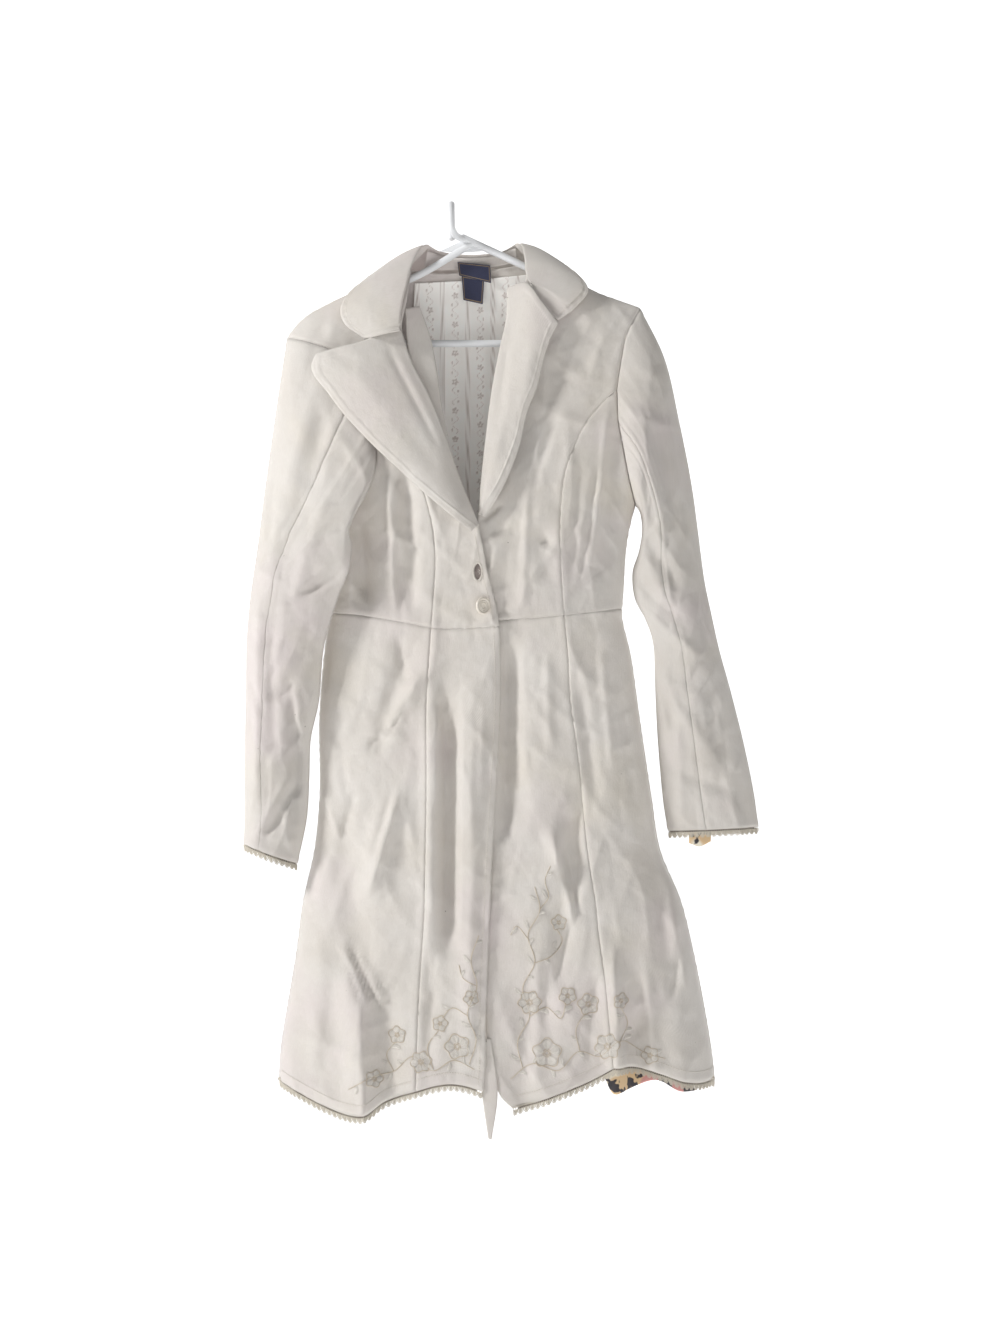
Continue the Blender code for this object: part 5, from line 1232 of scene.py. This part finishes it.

# A dark taupe sheet inside the opening: painted shade, standing in for the shaded cloth seen through the
# buttonhole.
shade_sheet_face = laid_on(eye_oval(INSIDE_REACH, np.linspace(0.05, 1, 7)[:, None]), -1.0, creases=1.0)
eye_painted_shade = add_mesh(
    "buttonhole_painted_shade", shade_sheet_face.reshape(-1, 3), quads(7, EYE_STITCHES, True),
    plain_material("painted shade inside the buttonhole", 0.9, INSIDE_PAINTED_SHADE))
glint_rows = [(32.6, -430.6, 34.6, -432.6), (31.8, -433.2, 34.8, -433.8), (33.0, -436.0, 34.6, -434.8)]
glint_share = np.linspace(0, 1, 5)[:, None]
glints = [
    laid_on(np.array([row[:2]]) * (1 - glint_share) + np.array([row[2:]]) * glint_share, -0.5, creases=1.0)
    for row in glint_rows]
add_rods("buttonhole_loose_threads", glints, 0.32, THREAD)

# The topstitching: a line of cream thread a few millimetres inside every turned edge, that
# holds lapels, collar, front edges and hem flat.
STITCH = namedtuple("Stitch", "pitch length radius")(3.1, 2.3, 0.34)
ON_CLOTH = 0.35


def even_points(path, pitch):
    """Points along a path, evenly spaced, with the direction at each."""
    step = np.linalg.norm(np.diff(path, axis=0), axis=1)
    place = np.concatenate([[0], np.cumsum(step)])
    at = np.arange(pitch / 2, place[-1], pitch)
    point = np.stack([np.interp(at, place, column) for column in path.T], -1)
    ahead = np.stack([np.interp(at + 0.5, place, column) for column in path.T], -1)
    way = ahead - point
    return point, way / np.maximum(np.linalg.norm(way, axis=1, keepdims=True), 1e-9)


def add_stitches(name, path, out, size=STITCH):
    """A line of stitches along a path on the cloth; out is the direction away from the cloth."""
    point, way = even_points(path, size.pitch)
    out = np.array(out, float)
    share = np.linspace(-0.5, 0.5, 5)[None, :, None]
    lift = 0.34 * np.cos(share * math.pi) - 0.16
    paths = point[:, None] + share * size.length * way[:, None] + lift * out
    add_rods(name, paths, size.radius, THREAD)


def inset_path(surface, distance, from_last=True):
    """The line on a cloth piece that runs at a distance inside its last column, or its first."""
    _, _, near, far = from_edges(surface)
    away = near
    if from_last:
        away = far[:, ::-1]
        surface = surface[:, ::-1]
    return np.array([
        [np.interp(distance, row, line) for row, line in zip(away, surface[..., axis])]
        for axis in range(3)]).T


OUT = (0.0, -1.0, 0.0)
LEAF_OUT = (0.0, -0.8, 0.6)
EDGE_IN = 7.0
DOUBLE_APART = 2.4
add_stitches("lapel_right_stitches", inset_path(lapel_right, LAPEL_STITCH)[4:-8], OUT)
add_stitches("lapel_left_stitches", inset_path(lapel_left, LAPEL_STITCH)[6:-8], OUT)
add_stitches("lapel_left_roll_stitches", inset_path(lapel_left, EDGE_IN, False)[8:-6], OUT)
leaf_turned = leaf.swapaxes(0, 1)
add_stitches("collar_stitches", inset_path(leaf_turned, COLLAR_STITCH)[6:-6], LEAF_OUT)
add_stitches("collar_stitches_double", inset_path(leaf_turned, COLLAR_STITCH + DOUBLE_APART)[8:-8], LEAF_OUT)
edge_right = along(EDGE_SKIRT_RIGHT, np.linspace(0.0, 0.985, 200)) - np.array([EDGE_IN, 0.0])
edge_bodice = along(EDGE_RIGHT, np.linspace(0.12, 1.0, 60)) - np.array([EDGE_IN, 0.0])
add_stitches("front_edge_right_stitches", laid_on(edge_right, ON_CLOTH, creases=1.0), OUT)
add_stitches("front_edge_bodice_stitches", laid_on(edge_bodice, ON_CLOTH, creases=1.0), OUT)
HEM_IN = 13.0
hem_lines = (
    ("right", (HEM_RIGHT_SIDE, HEM_RIGHT_FRONT), 0.0), ("left", (HEM_LEFT_FRONT, HEM_LEFT_SIDE), LAP))
for side, lines, gap in hem_lines:
    hem_path = np.concatenate([along(line, np.linspace(0.03, 0.97, 90)) for line in lines])
    hem_path = hem_path + np.array([0.0, HEM_IN])
    add_stitches("hem_%s_stitches" % side, laid_on(hem_path, ON_CLOTH, gap, 1.0), OUT)

# The lace: a narrow crocheted cotton edging sewn along hem and cuffs. It has a header of
# two cords with short bars between them, and below it small fans with a looped edge. A dark
# strip behind the header is painted shade, standing in for the shaded inside of the coat.
LACE_THREAD = thread_material("crochet cotton", (0.66, 0.60, 0.50), 0.75)
LACE_PITCH = 7.0
LACE_HEAD = 3.9
LACE_FAN = 5.9
LACE_INSIDE = 0.9
LACE_RAISED = 1.5
LACE_BEHIND = 1.1
LACE_PAINTED_SHADE = plain_material("painted shade behind the lace", 0.8, (0.17, 0.135, 0.12))


def add_lace(node, edge, inside):
    """Lace that hangs from an edge, given as points; inside is 1 or -1, to the cloth's inner side.

    Bars join the two cords. A fan is three half rings, the outer one looped, and five spokes.
    """
    length = float(np.linalg.norm(np.diff(edge, axis=0), axis=1).sum())
    fans = max(3, round(length / LACE_PITCH))

    def at(share, down, lift=0.0):
        """A place on the lace: share of the edge's length, depth below it, how far it stands out."""
        share, down, lift = np.broadcast_arrays(share, down, lift)
        line = along(edge, np.clip(share, 0.004, 0.996).ravel()).reshape(share.shape + (3,))
        ahead = along(edge, np.clip(share + 0.002, 0.0, 1.0).ravel()).reshape(share.shape + (3,))
        normal = np.cross(ahead - line + np.array([1e-6, 0.0, 0.0]), np.array([0.0, 0.0, -1.0]))
        normal /= np.maximum(np.linalg.norm(normal, axis=-1, keepdims=True), 1e-9)
        place = line + inside * (LACE_INSIDE - lift)[..., None] * normal
        place[..., 2] -= down - LACE_RAISED
        return place

    s = np.linspace(0, 1, fans * 7 + 1)[None]
    wavy = 0.25 * np.sin(s * fans * 9.0)
    cords = np.concatenate([at(s, 0.9 + 0.2 * wavy), at(s, LACE_HEAD + 0.3 * wavy)])
    piece = add_rods(node + "_cords", cords, 0.46, LACE_THREAD, 4)
    # A dark strip behind the header: painted shade, standing in for the shaded inside of the coat seen
    # through the lace.
    behind = at(0.025 + 0.95 * s, np.array([[0.6], [LACE_HEAD]]), -LACE_BEHIND)
    lace_shade_strip = add_mesh(node + "_painted_shade", behind.reshape(-1, 3), quads(2, s.shape[1]), LACE_PAINTED_SHADE)
    bars = (np.arange(fans * 3) + 0.5)[:, None] / (fans * 3)
    drop = np.linspace(0.8, LACE_HEAD, 4)[None, :]
    shift = 0.25 / fans * np.sin(bars * 50.0)
    add_rods(node + "_bars", at(bars + shift * (drop - 1) / 3, drop), 0.36, LACE_THREAD, 4)
    centre = (np.arange(fans) + 0.5)[:, None] / fans
    sweep = np.linspace(0, math.pi, 11)[None, :]
    arcs = []
    for wide, deep, lift, loops in ((0.47, 1.0, 0.0, 0.09), (0.30, 0.62, 0.2, 0.0), (0.14, 0.34, 0.1, 0.0)):
        drop = LACE_HEAD + LACE_FAN * deep * np.sin(sweep) * (1 + loops * np.cos(sweep * 10))
        arcs.append(at(centre - wide / fans * np.cos(sweep), drop, lift))
    add_rods(node + "_fans", np.concatenate(arcs), 0.44, LACE_THREAD, 4)
    spokes = []
    for turn_by in (0.8, 1.25, 1.57, 1.89, 2.34):
        reach = np.linspace(0.12, 0.95, 4)[None, :]
        drop = LACE_HEAD + LACE_FAN * math.sin(turn_by) * reach
        spokes.append(at(centre - 0.45 / fans * math.cos(turn_by) * reach, drop))
    add_rods(node + "_spokes", np.concatenate(spokes), 0.3, LACE_THREAD, 4)
    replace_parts(piece, node)


def hem_points(*lines):
    """Points of the body's face along hem seams."""
    place = join(*lines)
    return body(place[:, 0], place[:, 1], 0.0, 1.0)


add_lace("hem_lace_right", hem_points(hem_side_right, hem_front_right), 1.0)
add_lace("hem_lace_left", hem_points(hem_front_left, hem_side_left), 1.0)
add_lace("cuff_lace_right", cuff_right, 1.0)
add_lace("cuff_lace_left", cuff_left, -1.0)
add_lace("hem_lace_back", hem_points(
    seam(HEM_SIDE_BACK_RIGHT, SIDE_BACK_WIDE, True), seam(HEM_BACK_RIGHT, 2 * BACK_WIDE - 1, True),
    seam(HEM_BACK_LEFT, 2 * BACK_WIDE - 1, True), seam(HEM_SIDE_BACK_LEFT, SIDE_BACK_WIDE, True)), -1.0)

# The embroidery: beige silk on the cream cloth, worked by hand over the hem and up the front
# edges. Stems are outline stitch; leaves and petals are satin stitch laid side by side.
LEAF_PITCH = 19.0
LEAF_TURN = 48
LEAF_LENGTH = 12.0
Blossom = namedtuple("Blossom", "x z radius petals turned")
Leaf = namedtuple("Leaf", "x z length angle")
LEFT_STEMS = [
    [(70, -1022), (96, -1004), (124, -1012), (150, -990), (172, -996), (196, -978), (224, -992),
     (250, -1000)],
    [(84, -1010), (78, -980), (92, -950), (84, -918), (98, -886), (90, -856), (104, -826), (98, -800)],
    [(92, -950), (112, -940), (128, -952), (134, -934)], [(90, -860), (76, -846), (70, -856)],
    [(98, -888), (118, -880), (130, -862), (124, -850)], [(150, -990), (146, -964), (158, -944)],
    [(196, -980), (206, -958), (198, -940)], [(104, -826), (114, -812), (110, -792), (116, -776)],
]
RIGHT_STEMS = [
    [(28, -1010), (4, -1000), (-20, -1012), (-44, -996), (-66, -1014), (-92, -1020), (-118, -1034)],
    [(22, -1004), (30, -976), (20, -946), (31, -914), (24, -884), (33, -856)],
    [(20, -948), (2, -940), (-10, -952)], [(-20, -1010), (-26, -984), (-14, -966)],
    [(30, -914), (14, -904), (10, -890)], [(-66, -1014), (-74, -994), (-64, -980)],
]
LEFT_BLOSSOMS = [
    Blossom(112, -992, 15, 5, 0.3), Blossom(92, -934, 12, 6, 0.1), Blossom(136, -926, 9, 5, 0.9),
    Blossom(160, -936, 11, 5, 0.5), Blossom(182, -984, 13, 6, 0.2), Blossom(198, -932, 8, 5, 0.0),
    Blossom(126, -842, 8, 5, 0.4), Blossom(232, -996, 9, 5, 0.7),
]
RIGHT_BLOSSOMS = [
    Blossom(8, -984, 13, 5, 0.6), Blossom(-34, -1002, 11, 6, 0.2), Blossom(-12, -958, 8, 5, 0.1),
    Blossom(24, -928, 8, 5, 0.8), Blossom(-62, -972, 9, 5, 0.4), Blossom(-88, -1022, 9, 5, 0.0),
]


def satin(centre_line, half_width, slant, count):
    """Stitches laid side by side from a middle line out to both edges of a shape."""
    share = np.linspace(0.04, 0.97, count)
    place = np.linspace(0, 1, len(centre_line))
    middle = np.stack([np.interp(share, place, column) for column in centre_line.T], -1)
    way = np.gradient(middle, axis=0)
    way /= np.maximum(np.linalg.norm(way, axis=1, keepdims=True), 1e-9)
    across = np.stack([-way[:, 1], way[:, 0]], -1)
    width = half_width * np.sin(math.pi * share) ** 0.7
    reach = np.linspace(0, 1, 4)[None, :, None]
    sides = []
    for sign in (-1.0, 1.0):
        tip = middle + (sign * across + slant * way) * width[:, None]
        sides.append(middle[:, None] * (1 - reach) + tip[:, None] * reach)
    return np.concatenate(sides)


def leaf_stitches(leaf_shape):
    """A leaf: a bowed middle line with slanting stitches on both sides."""
    angle = math.radians(leaf_shape.angle)
    way = np.array([math.cos(angle), math.sin(angle)])
    aside = np.array([-way[1], way[0]])
    t = np.linspace(0, 1, 9)[:, None]
    bowed = t * way + 0.14 * np.sin(math.pi * t) * aside
    middle = np.array([leaf_shape.x, leaf_shape.z]) + leaf_shape.length * bowed
    return satin(middle, 0.2 * leaf_shape.length, 0.7, int(leaf_shape.length / 0.85))


def blossom_stitches(shape):
    """The stitches of a blossom's petals, each a rounded satin shape round the middle."""
    found = []
    for k in range(shape.petals):
        angle = shape.turned + 2 * math.pi * k / shape.petals
        way = np.array([math.cos(angle), math.sin(angle)])
        t = np.linspace(0.26, 1, 7)[:, None]
        middle = np.array([shape.x, shape.z]) + shape.radius * t * way
        found.append(satin(middle, 0.36 * shape.radius, 0.35, int(shape.radius * 0.9)))
    return np.concatenate(found)


def blossom_rings(shape):
    """The outline cords of a blossom: a scalloped rim and two small rings in the middle."""
    angle = np.linspace(0, 2 * math.pi, 61)
    found = []
    for reach, wave in ((1.04, 0.13), (0.30, 0.0), (0.17, 0.0)):
        r = shape.radius * (reach + wave * np.cos(shape.petals * (angle - shape.turned)))
        found.append(np.stack([shape.x + r * np.cos(angle), shape.z + r * np.sin(angle)], -1))
    return found


def leaves_along(stem, size, offset):
    """Leaves on alternate sides of a stem."""
    points = along(stem, np.linspace(0, 1, 60))
    length = float(np.linalg.norm(np.diff(points, axis=0), axis=1).sum())
    count = max(1, int(length / LEAF_PITCH))
    found = []
    for k in range(count):
        at = int((k + 0.6) / count * 58)
        way = points[at + 1] - points[at]
        heading = math.degrees(math.atan2(way[1], way[0]))
        side = 1 if (k + offset) % 2 else -1
        length = size * (0.82 + 0.18 * math.sin(3.1 * k + offset))
        found.append(Leaf(points[at][0], points[at][1], length, heading + side * LEAF_TURN))
    return found


def add_embroidery(side, stems, blossoms, lap):
    """All the embroidery of one front, laid on the cloth with its folds."""
    fills = []
    for k, stem in enumerate(stems):
        fills += [leaf_stitches(one) for one in leaves_along(stem, LEAF_LENGTH, k)]
    fills += [blossom_stitches(one) for one in blossoms]
    rods = np.concatenate(fills)
    laid = laid_on(rods, ON_CLOTH, lap, 1.0)
    laid[..., 1] -= 0.45 * np.sin(math.pi * np.linspace(0.12, 0.95, rods.shape[1]))[None, :]
    add_rods("embroidery_%s_satin" % side, laid, 0.36, SILK_PALE, 4)
    cords = [along(stem, np.linspace(0, 1, 61)) for stem in stems]
    for one in blossoms:
        cords += blossom_rings(one)
    cords = laid_on(np.array(cords), 0.55, lap, 1.0)
    add_rods("embroidery_%s_outline" % side, cords, 0.42, SILK, 6)


add_embroidery("left", LEFT_STEMS, LEFT_BLOSSOMS, LAP)
add_embroidery("right", RIGHT_STEMS, RIGHT_BLOSSOMS, 0.0)

# The hanger: white moulded plastic tube. A hook curls back over the rail, two arms slope
# from it with a web under their meeting, and a straight bar joins their ends below.
HOOK_INSIDE = 19.0
HOOK_BAR = 4.0
HANGER_RADIUS = 4.3
HANG_DROP = 11.5
BAR_HEIGHT = -161.0
HANGER_Y = -1.0
WEB_THICK = 2.4


def plastic_material():
    """White moulded plastic with a soft gloss, slightly uneven, a few dull scuffs."""
    made, tree, shader = new_material("white hanger plastic", 0.32)
    place = tree.nodes.new("ShaderNodeTexCoord").outputs["Object"]
    wear = noise(tree, place, 60.0, 4.0)
    white = ramp(tree, wear, 0.3, 0.75, ((0.86, 0.87, 0.885), (0.80, 0.81, 0.82)))
    tree.links.new(white, shader.inputs["Base Color"])
    rough = tree.nodes.new("ShaderNodeMapRange")
    rough.inputs["To Min"].default_value = 0.24
    rough.inputs["To Max"].default_value = 0.46
    tree.links.new(wear, rough.inputs["Value"])
    tree.links.new(rough.outputs["Result"], shader.inputs["Roughness"])
    tree.links.new(bump(tree, noise(tree, place, 90.0, 2.0), 0.0004, 0.3), shader.inputs["Normal"])
    return made


PLASTIC = plastic_material()


def add_tube(name, path, radius, aside, sides=28):
    """A round bar along a smooth path that lies square to the direction aside, with domed ends."""
    path = along(path, np.linspace(0, 1, 12 * len(path)))
    run = np.gradient(path, axis=0)
    run /= np.linalg.norm(run, axis=1, keepdims=True)
    dome = np.linspace(0, math.pi / 2, 7)[1:]
    start = path[0] - run[0] * (radius * 0.6 * np.sin(dome))[:, None]
    end = path[-1] + run[-1] * (radius * 0.6 * np.sin(dome))[:, None]
    shape = radius * np.cos(dome) + 0.02
    sizes = np.concatenate([shape[::-1], np.full(len(path), radius), shape])
    path = np.concatenate([start[::-1], path, end])
    run = np.concatenate([np.repeat(run[:1], 6, axis=0), run, np.repeat(run[-1:], 6, axis=0)])
    first = np.cross(run, np.array(aside, float))
    first /= np.linalg.norm(first, axis=1, keepdims=True)
    second = np.cross(run, first)
    angle = np.arange(sides) * 2 * math.pi / sides
    ring = np.cos(angle)[None, :, None] * first[:, None] + np.sin(angle)[None, :, None] * second[:, None]
    points = (path[:, None] + sizes[:, None, None] * ring).reshape(-1, 3)
    piece = add_mesh(name, points, quads(len(path), sides, True), PLASTIC)
    return piece


def arm_path(start, knee, end_x):
    """One arm: straight from the apex, then just under the shoulder seam to its end."""
    x = np.linspace(knee[0], end_x, 9)
    under = [(float(a), HANGER_Y, float(smooth(SHOULDER, a)) - HANG_DROP) for a in x]
    way = math.copysign(1.0, end_x)
    last = under[-1]
    turned = [(last[0] + way * 4, HANGER_Y, last[2] - 4), (last[0] + way * 5, HANGER_Y, last[2] - 9)]
    turned += [(last[0] + way * 5, HANGER_Y, last[2] - 10), (last[0] + way * 5, HANGER_Y, last[2] - 11)]
    return [(start[0], 0, start[1])] + under + turned


arm_right_path = arm_path((27, -41), (-52, 0), -166)
arm_left_path = arm_path((13, -35), (106, 0), 203)
hook_radius = HOOK_INSIDE + HOOK_BAR
hook_bends = np.radians(np.linspace(-40, 180, 14))
hook_path = [(0, hook_radius * math.cos(b), -HOOK_INSIDE + hook_radius * math.sin(b)) for b in hook_bends]
hook_path += [(1, -22, -27), (4, -16, -33), (9, -7, -36), (15, 0, -37)]
right_end = arm_right_path[-1]
left_end = arm_left_path[-1]
bar_path = [(right_end[0], HANGER_Y, right_end[2] - drop) for drop in (0.35, 1.5, 3.0)]
bar_path += [(right_end[0] + 3, HANGER_Y, BAR_HEIGHT + 4), (right_end[0] + 9, HANGER_Y, BAR_HEIGHT)]
bar_path += [(float(x), HANGER_Y, BAR_HEIGHT) for x in np.linspace(right_end[0] + 20, left_end[0] - 20, 6)]
bar_path += [(left_end[0] - 9, HANGER_Y, BAR_HEIGHT + 1), (left_end[0] - 3, HANGER_Y, BAR_HEIGHT + 5)]
bar_path += [(left_end[0], HANGER_Y, left_end[2] - drop) for drop in (3.0, 1.5, 0.35)]
hook = add_tube("hanger_hook", hook_path, HOOK_BAR, (1, 0, 0))
add_tube("hanger_arm_left", arm_left_path, HANGER_RADIUS, (0, 1, 0))
add_tube("hanger_arm_right", arm_right_path, HANGER_RADIUS - 0.1, (0, 1, 0))
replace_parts(hook, "hanger_frame")
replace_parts(add_tube("hanger_lower_bar", bar_path, HANGER_RADIUS, (0, 1, 0)), "hanger_bar")
web_flat = flat_patch(
    [(10, -40), (24, -41)], [(-14, -51.5), (20, -52.5), (45, -50.5)], [(10, -40), (-14, -51.5)],
    [(24, -41), (45, -50.5)], 24, 10)
web_face = np.stack([web_flat[..., 0], np.full(web_flat.shape[:2], -WEB_THICK / 2), web_flat[..., 1]], -1)
web = add_wall("hanger_web", web_face, web_face + np.array([0.0, WEB_THICK, 0.0]), PLASTIC)

# The stage: a plain pale sweep of paper, floor and wall in one, well clear of the coat. A
# soft studio light stands at the upper left and a weak one fills in from the right.
FLOOR = -1.75
SWEEP_SIDE = 16.0
SWEEP_BEND = 1.6
SWEEP_BENDS_AT = 8.4
WALL_Y = 10.0
WALL_TOP = 12.0
sweep_turn = np.radians(np.linspace(0, 90, 25))
sweep_profile = [(-SWEEP_SIDE, FLOOR)]
sweep_profile += [
    (SWEEP_BENDS_AT + SWEEP_BEND * math.sin(a), FLOOR + SWEEP_BEND * (1 - math.cos(a))) for a in sweep_turn]
sweep_profile += [(WALL_Y, WALL_TOP)]
sweep_points = [(x, y, z) for y, z in sweep_profile for x in (-SWEEP_SIDE, SWEEP_SIDE)]
sweep_faces = [(2 * k, 2 * k + 1, 2 * k + 3, 2 * k + 2) for k in range(len(sweep_profile) - 1)]
sweep_mesh = bpy.data.meshes.new("paper_sweep")
sweep_mesh.from_pydata(sweep_points, [], sweep_faces)
sweep_mesh.polygons.foreach_set("use_smooth", np.full(len(sweep_faces), True))
sweep = bpy.data.objects.new("paper_sweep", sweep_mesh)
bpy.context.scene.collection.objects.link(sweep)
paper = bpy.data.materials.new("pale paper")
paper.use_nodes = True
paper_shader = paper.node_tree.nodes["Principled BSDF"]
paper_shader.inputs["Base Color"].default_value = (0.92, 0.92, 0.92, 1.0)
paper_shader.inputs["Roughness"].default_value = 0.95
paper_shader.inputs["Emission Color"].default_value = (1.0, 1.0, 1.0, 1.0)
paper_shader.inputs["Emission Strength"].default_value = 0.72
sweep_mesh.materials.append(paper)

world = bpy.data.worlds.new("studio")
world.use_nodes = True
world.node_tree.nodes["Background"].inputs["Color"].default_value = (1.0, 1.0, 1.0, 1.0)
world.node_tree.nodes["Background"].inputs["Strength"].default_value = 0.22
bpy.context.scene.world = world


def area_light(name, place, target, size, power):
    """A soft square light that looks at a point."""
    data = bpy.data.lights.new(name, "AREA")
    data.size = size
    data.energy = power
    light = bpy.data.objects.new(name, data)
    light.location = place
    light.rotation_euler = (Vector(target) - Vector(place)).to_track_quat("-Z", "Y").to_euler()
    bpy.context.scene.collection.objects.link(light)


area_light("window", (-2.9, -1.25, 1.4), (0.05, 0.0, -0.5), 0.6, 98.0)
area_light("room", (2.6, -3.0, 0.2), (0.05, 0.0, -0.6), 2.4, 7.0)

CAMERA_DISTANCE = 3.5
VIEW_HEIGHT = 1.5676
SENSOR = 36.0
bpy.context.scene.view_settings.view_transform = "Standard"
camera_data = bpy.data.cameras.new("camera")
camera_data.sensor_fit = "VERTICAL"
camera_data.sensor_height = SENSOR
camera_data.lens = SENSOR * CAMERA_DISTANCE / VIEW_HEIGHT
camera = bpy.data.objects.new("camera", camera_data)
camera.location = (0.0576, -CAMERA_DISTANCE - 0.03, -0.5439)
camera.rotation_euler = (math.pi / 2, 0.0, 0.0)
bpy.context.scene.collection.objects.link(camera)
bpy.context.scene.camera = camera
